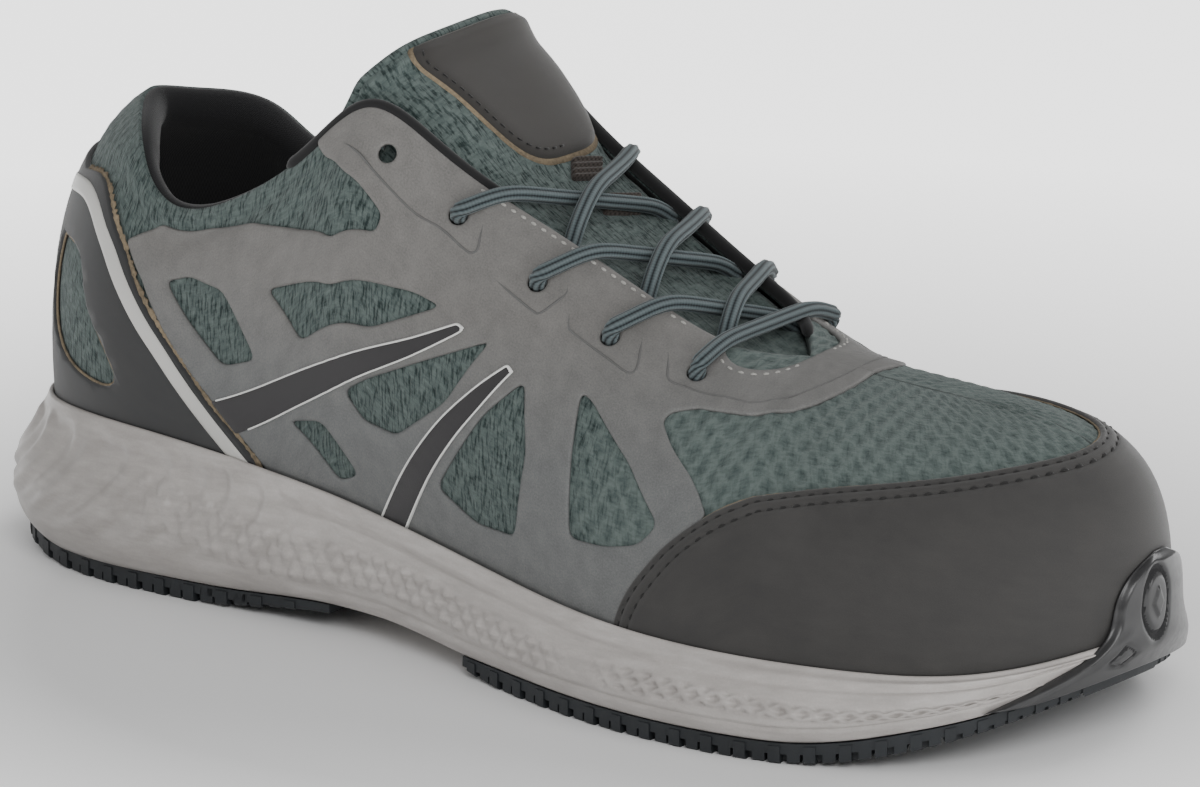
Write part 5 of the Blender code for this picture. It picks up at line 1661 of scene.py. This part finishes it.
def skin_at_height(places, height):
    """Plan points of the skin at given heights."""
    shares = np.linspace(0, 0.5, 61)
    lines = at(places[:, None], shares[None, :])
    out = np.empty((len(places), 2))
    for i, (line, z) in enumerate(zip(lines, height)):
        out[i] = [np.interp(z, line[:, 2], line[:, k]) for k in range(2)]
    return out


WALL_ROWS = 56


def sole_wall(places):
    """Grid of points down the foam's side wall, and its outward direction in plan."""
    xy = foot(places)
    share = xy[:, 0]/LAST_LENGTH
    normal = outward(places)
    rim = rim_height(share)
    base = foam_bottom(xy[:, 0]+normal[:, 0]*flare(share, 2))
    lip = skin_at_height(places, rim)
    deep = rim-base
    # from the rim down: lip, waist, bulge, foot of the bulge, ground line
    lines = [
        (lip+normal*(SEAT+RIM_LIP*0.9), rim-0.7*MM),
        (xy+normal*(flare(share, 1)*0.45+2.2*MM)[:, None], rim-0.30*deep),
        (xy+normal*flare(share, 1)[:, None], rim-0.60*deep),
        (xy+normal*(0.3*flare(share, 1)+0.7*flare(share, 2))[:, None], base+1.5*MM),
        (xy+normal*(flare(share, 2)-0.6*MM)[:, None], base),
    ]
    knots = np.array([0, 0.32, 0.62, 0.93, 1.0])
    points = np.array([np.column_stack([p, z]) for p, z in lines])
    t = np.linspace(0, 1, WALL_ROWS)
    flat = points.reshape(len(lines), -1)
    dense = np.array([spline(knots, flat[:, k], t) for k in range(flat.shape[1])]).T
    return dense.reshape(WALL_ROWS, len(places), 3), normal, t, share


# lengths of the moulded pattern along the side, in millimetres
RIPPLE_PITCH = 11.5
FACET_PITCH = 4.6


def wall_relief(places, t, share):
    """Moulded relief of the side: ripples at the heel, a bead on top, a wavy belt of small facets."""
    around = np.interp(wrap(places), PLACES, ROUND_LENGTH)/MM
    s, down = np.broadcast_arrays(share[None, :], t[:, None])
    a = np.abs(np.broadcast_to(around[None, :], s.shape))
    # a fan of ripples round the heel, gone further forward
    back = 1-smooth((s-0.24)/0.22)
    fan = a+46*(down-0.5)**2+20*(down-0.5)
    fade = smooth((0.86-down)/0.25)*smooth((down-0.05)/0.12)
    ripple = 0.55*MM*np.sin(2*math.pi*fan/RIPPLE_PITCH+1.8*np.sin(a/15))*back*fade
    ripple += 0.28*MM*np.sin(2*math.pi*(fan*1.9+16*down)/11.0)*back*fade
    # a wavy belt of small facets, that turn into studs towards the toe
    front = smooth((s-0.10)/0.10)
    centre = 0.60+0.05*np.sin(2*math.pi*a/85)-0.10*smooth((0.35-s)/0.2)
    half = 0.19-0.07*smooth((s-0.62)/0.2)
    belt = smooth((half-np.abs(down-centre))/0.05)*front*(1-smooth((s-0.94)/0.03))
    rows = (down-centre)/0.115
    x, y = a/FACET_PITCH+0.62*rows, a/FACET_PITCH-0.38*rows
    cut = np.maximum(np.abs((x % 1)-0.5), np.abs((y % 1)-0.5))
    late = smooth((s-0.58)/0.14)
    facet = (1.5*(0.5-cut)*2*(1-late)+1.1*(smooth((cut-0.18)/0.2)-0.6)*late)*MM*belt
    # a bead and a groove under the rim, and a step low down
    lip = smooth((s-0.26)/0.12)
    bead = 0.55*MM*np.exp(-((down-0.13)/0.07)**2)*lip
    groove = -0.40*MM*np.exp(-((down-0.26)/0.035)**2)*lip
    step = -0.45*MM*np.exp(-((down-0.84)/0.025)**2)*smooth((s-0.3)/0.1)
    return ripple+facet+bead+groove+step


def midsole():
    places = round_places(SOLE_COLUMNS)
    wall, normal, t, share = sole_wall(places)
    up = np.gradient(wall, axis=0)
    around = np.roll(wall, -1, axis=1)-np.roll(wall, 1, axis=1)
    n = unit(np.cross(around, up))
    facing = n[..., 0]*normal[:, 0]+n[..., 1]*normal[:, 1]
    n = np.where((facing < 0)[..., None], -n, n)
    wall = wall+n*wall_relief(places, t, share)[..., None]
    rim = rim_height(share)
    seat = np.column_stack([foot(places)+normal*SEAT, floor_height(share)-0.3*MM])
    lip = skin_at_height(places, rim)
    inner_lip = np.column_stack([lip+normal*SEAT, rim-0.5*MM])
    crest = [np.column_stack([lip+normal*(SEAT+RIM_LIP*k), rim+z])
             for k, z in ((0.15, -0.1*MM), (0.45, 0.05*MM), (0.78, -0.2*MM))]
    rings = [seat, inner_lip]+crest+list(wall)
    obj = outward_faces(make("foam_midsole", *ring_body(rings), FOAM))
    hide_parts("midsole")


def cap_faces(first, count, flip):
    """Strip by strip cap of a ring whose points run from the inner toe round the heel."""
    faces = []
    for i in range(count//2):
        a, b = first+i, first+i+1
        c, d = first+(count-i-1) % count, first+(count-i) % count
        face = [a, b]+([c] if c != b else [])+([d] if d != a else [])
        faces.append(face[::-1] if flip else face)
    return faces


def ring_body(rings):
    """Closed body of rings round the foot line, one over the other, capped at both ends."""
    count = len(rings[0])
    faces = turned_over(sheet_faces(len(rings), count, closed=True))
    faces += cap_faces(0, count, False)+cap_faces((len(rings)-1)*count, count, True)
    return np.concatenate(rings), faces


def insole():
    places = round_places(240)
    xy = foot(places)
    share = xy[:, 0]/LAST_LENGTH
    normal = outward(places)
    rings = [np.column_stack([xy-normal*inset_by, floor_height(share)+z]) for inset_by, z in (
        (14*MM, INSOLE_THICK-0.6*MM), (6*MM, INSOLE_THICK-0.3*MM), (WALL+1.0*MM, INSOLE_THICK),
        (WALL+0.5*MM, 0.5*INSOLE_THICK), (WALL+1.0*MM, 0.1*MM))]
    verts, faces = ring_body(rings)
    obj = outward_faces(make("footbed_insole", verts, faces, FOOTBED, weave=verts[:, :2]/MM))
    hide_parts("insole")


def plan_edge(place, inset_by):
    """Plan points in from the ground line of the sole."""
    place = np.atleast_1d(np.asarray(place, float))
    xy = foot(place)
    return xy+outward(place)*(flare(xy[:, 0]/LAST_LENGTH, 3)-inset_by)[:, None]


def lug(outline, top, bottom, bevel=0.5*MM):
    """Lug from a plan outline: straight sides with a small bevel at the tread."""
    outline = np.asarray(outline)
    middle = outline.mean(0)
    size = np.linalg.norm(outline-middle, axis=1).mean()
    small = middle+(outline-middle)*(1-bevel/size)
    rings = [np.column_stack([outline, top(outline[:, 0])]),
             np.column_stack([outline, bottom(outline[:, 0])+bevel]),
             np.column_stack([small, bottom(outline[:, 0])])]
    n = len(outline)
    faces = [list(range(n))[::-1]]+sheet_faces(3, n, closed=True)
    faces.append([2*n+c for c in range(n)])
    return np.concatenate(rings), faces


def tread_top(x):
    return foam_bottom(x)-GAP-0.6*MM


def pad(name, first, last, lugs, centre, tail, nodes):
    """Outsole pad: a thin plate with lugs round its edge and bars down its middle."""
    places = np.linspace(first, last, 90)
    outer, inner = plan_edge(places, 0.3*MM), plan_edge(-places, 0.3*MM)
    across = np.linspace(0, 1, 9)[None, :, None]
    plan = outer[:, None]*(1-across)+inner[:, None]*across
    top = np.concatenate([plan, (foam_bottom(plan[..., 0])-GAP)[..., None]], -1)
    low = np.maximum(ground(plan[..., 0])+0.2*MM, foam_bottom(plan[..., 0])-GAP-(RUBBER-GAP-LUG_DEPTH))
    bottom = np.concatenate([plan, low[..., None]], -1)
    parts = [slab(top, bottom)]
    start, stop, count = lugs
    pitch = (stop-start)/count
    for i in range(count):
        for sign in (1, -1):
            a, b = start+pitch*i, start+pitch*(i+0.90)
            run = np.linspace(a, b, 7)*sign
            reach = LUG_REACH*(1.0 if i % 2 else 0.8)
            edge = plan_edge((LUG_STEPS*(b-a)+a)*sign, LUG_NOTCH)
            outline = np.concatenate([edge, plan_edge(run[::-1], reach)])
            parts.append(lug(outline, tread_top, ground))
    reach = LUG_REACH+4*MM
    for a, b in centre:
        run = np.linspace(a, b, 4)
        outline = np.concatenate([plan_edge(run, reach), plan_edge(-run[::-1], reach)])
        parts.append(lug(outline, tread_top, ground))
    a, b = tail
    run = np.linspace(a, b, 8)
    outline = np.concatenate([plan_edge(run, 0.0), plan_edge(-run[::-1], 0.0)])
    parts.append(lug(outline, tread_top, ground))
    verts, faces, _ = join(parts)
    obj = outward_faces(make(name, verts, faces, RUBBER_MAT, flat=True))
    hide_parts(nodes)


# half width of the toe rubber, in places, at shares of its height
BUMPER_SHAPE = [(0.0, 0.17), (0.05, 0.158), (0.08, 0.140), (0.10, 0.122), (0.13, 0.104), (0.2, 0.090),
                (0.25, 0.080), (0.305, 0.072), (0.41, 0.065), (0.524, 0.062), (0.62, 0.061),
                (0.733, 0.0555), (0.845, 0.047), (0.90, 0.039), (0.96, 0.026), (1.0, 0.010)]
BUMPER_MIDDLE = 1.022
BUMPER_SPAN = 350*MM
BUMPER_ROWS, BUMPER_COLUMNS = 84, 96

# oval groove with its lozenge, and the small mark low beside it, in millimetres
OVAL_SIDE, OVAL_HIGH, OVAL_WIDE, OVAL_TALL = -6.5, 13.2, 6.0, 7.2
MARK_SIDE, MARK_HIGH = -19, 4.2


def bumper():
    """Rubber run up over the toe, with an oval groove and a small lozenge."""
    rows, cols = BUMPER_ROWS, BUMPER_COLUMNS
    heights = np.linspace(0, 1, rows)
    half = spline(*zip(*BUMPER_SHAPE), heights)
    u = np.linspace(-1, 1, cols)
    inner, out = np.empty((rows, cols, 3)), np.empty((rows, cols, 3))
    near_edge, side, high = np.empty((rows, cols)), np.empty((rows, cols)), np.empty((rows, cols))
    for r, (t, w) in enumerate(zip(heights, half)):
        places = wrap(BUMPER_MIDDLE+u*w)
        wall, normal, _, share = sole_wall(places)
        rim = rim_height(share)
        base = wall[-1, :, 2]+0.3*MM
        z = base+t*BUMPER_RISE
        skin = skin_at_height(places, z)+normal*(SEAT+0.2*MM)
        foam = np.array([[np.interp(z[c], wall[::-1, c, 2], wall[::-1, c, k]) for k in (0, 1)]
                         for c in range(cols)])
        blend = smooth((z-rim+4.0*MM)/(11*MM))[:, None]
        plan = (foam+normal*0.25*MM)*(1-blend)+skin*blend
        inner[r] = np.column_stack([plan, z])
        out[r] = np.column_stack([normal, np.zeros(cols)])
        side[r] = u*w*BUMPER_SPAN
        high[r] = t*BUMPER_RISE
        near_edge[r] = np.minimum((1-np.abs(u))*w*BUMPER_SPAN, (1-t)*BUMPER_RISE*1.3)
    ease(inner, 60)
    ease(near_edge, 60)
    n = grid_up(inner)
    n = np.where(((n*out).sum(-1) < 0)[..., None], -n, n)
    d, side, high = near_edge/MM, side/MM, high/MM
    # thin at its edge, with the groove, the lozenge and the mark worked into its face
    thick = BUMPER_THICK*(0.18+0.57*smooth(d/2.6))+0.5*MM*smooth(d/9)
    x, y = side-OVAL_SIDE, high-OVAL_HIGH
    ring = np.hypot(x/OVAL_WIDE, y/OVAL_TALL)
    groove = -0.95*MM*np.exp(-((ring-1)/0.13)**2)
    stone = 0.55*MM*smooth((0.95-(np.abs(x)/3.0+np.abs(y)/4.2))/0.25)
    mark = np.abs(side-MARK_SIDE)/5.5+np.abs(high-MARK_HIGH)/2.3
    small = -0.45*MM*np.exp(-((mark-0.8)/0.22)**2)
    outer = inner+n*(thick+(groove+stone+small)*smooth(d/2))[..., None]
    verts, faces = slab(outer, inner)
    # faces in the oval groove and the small mark take the near-black material: painted shade
    dark = (np.abs(ring-1) < 0.15) | (np.abs(mark-0.8) < 0.2)
    dark = (dark[:-1, :-1] & dark[1:, 1:]).ravel()
    kinds = [int(k) for k in dark]+[0]*(len(faces)-len(dark))
    obj = make("toe_bumper_moulded", verts, faces, [GLOSS_RUBBER, PAINTED_GROOVE_SHADE], kinds=kinds)
    outward_faces(obj)
    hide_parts("toe_bumper")


set_camera()
set_stage()
wall_piece = knit_upper()
cage_piece = cage()
cap()
counter()
blade()
band()
stitches()
emboss()
lining()
bindings()
tongue_piece = tongue()
tongue_trim()
laces([tree_of(piece) for piece in (tongue_piece, cage_piece, wall_piece)])
midsole()
insole()
pad("outsole_heel_tread", 0.012, 0.345, HEEL_LUGS, HEEL_BARS, (0.02, 0.085), "outsole_heel")
pad("outsole_forefoot_tread", 0.46, 0.988, FORE_LUGS, FORE_BARS, (0.94, 0.985), "outsole_forefoot")
bumper()
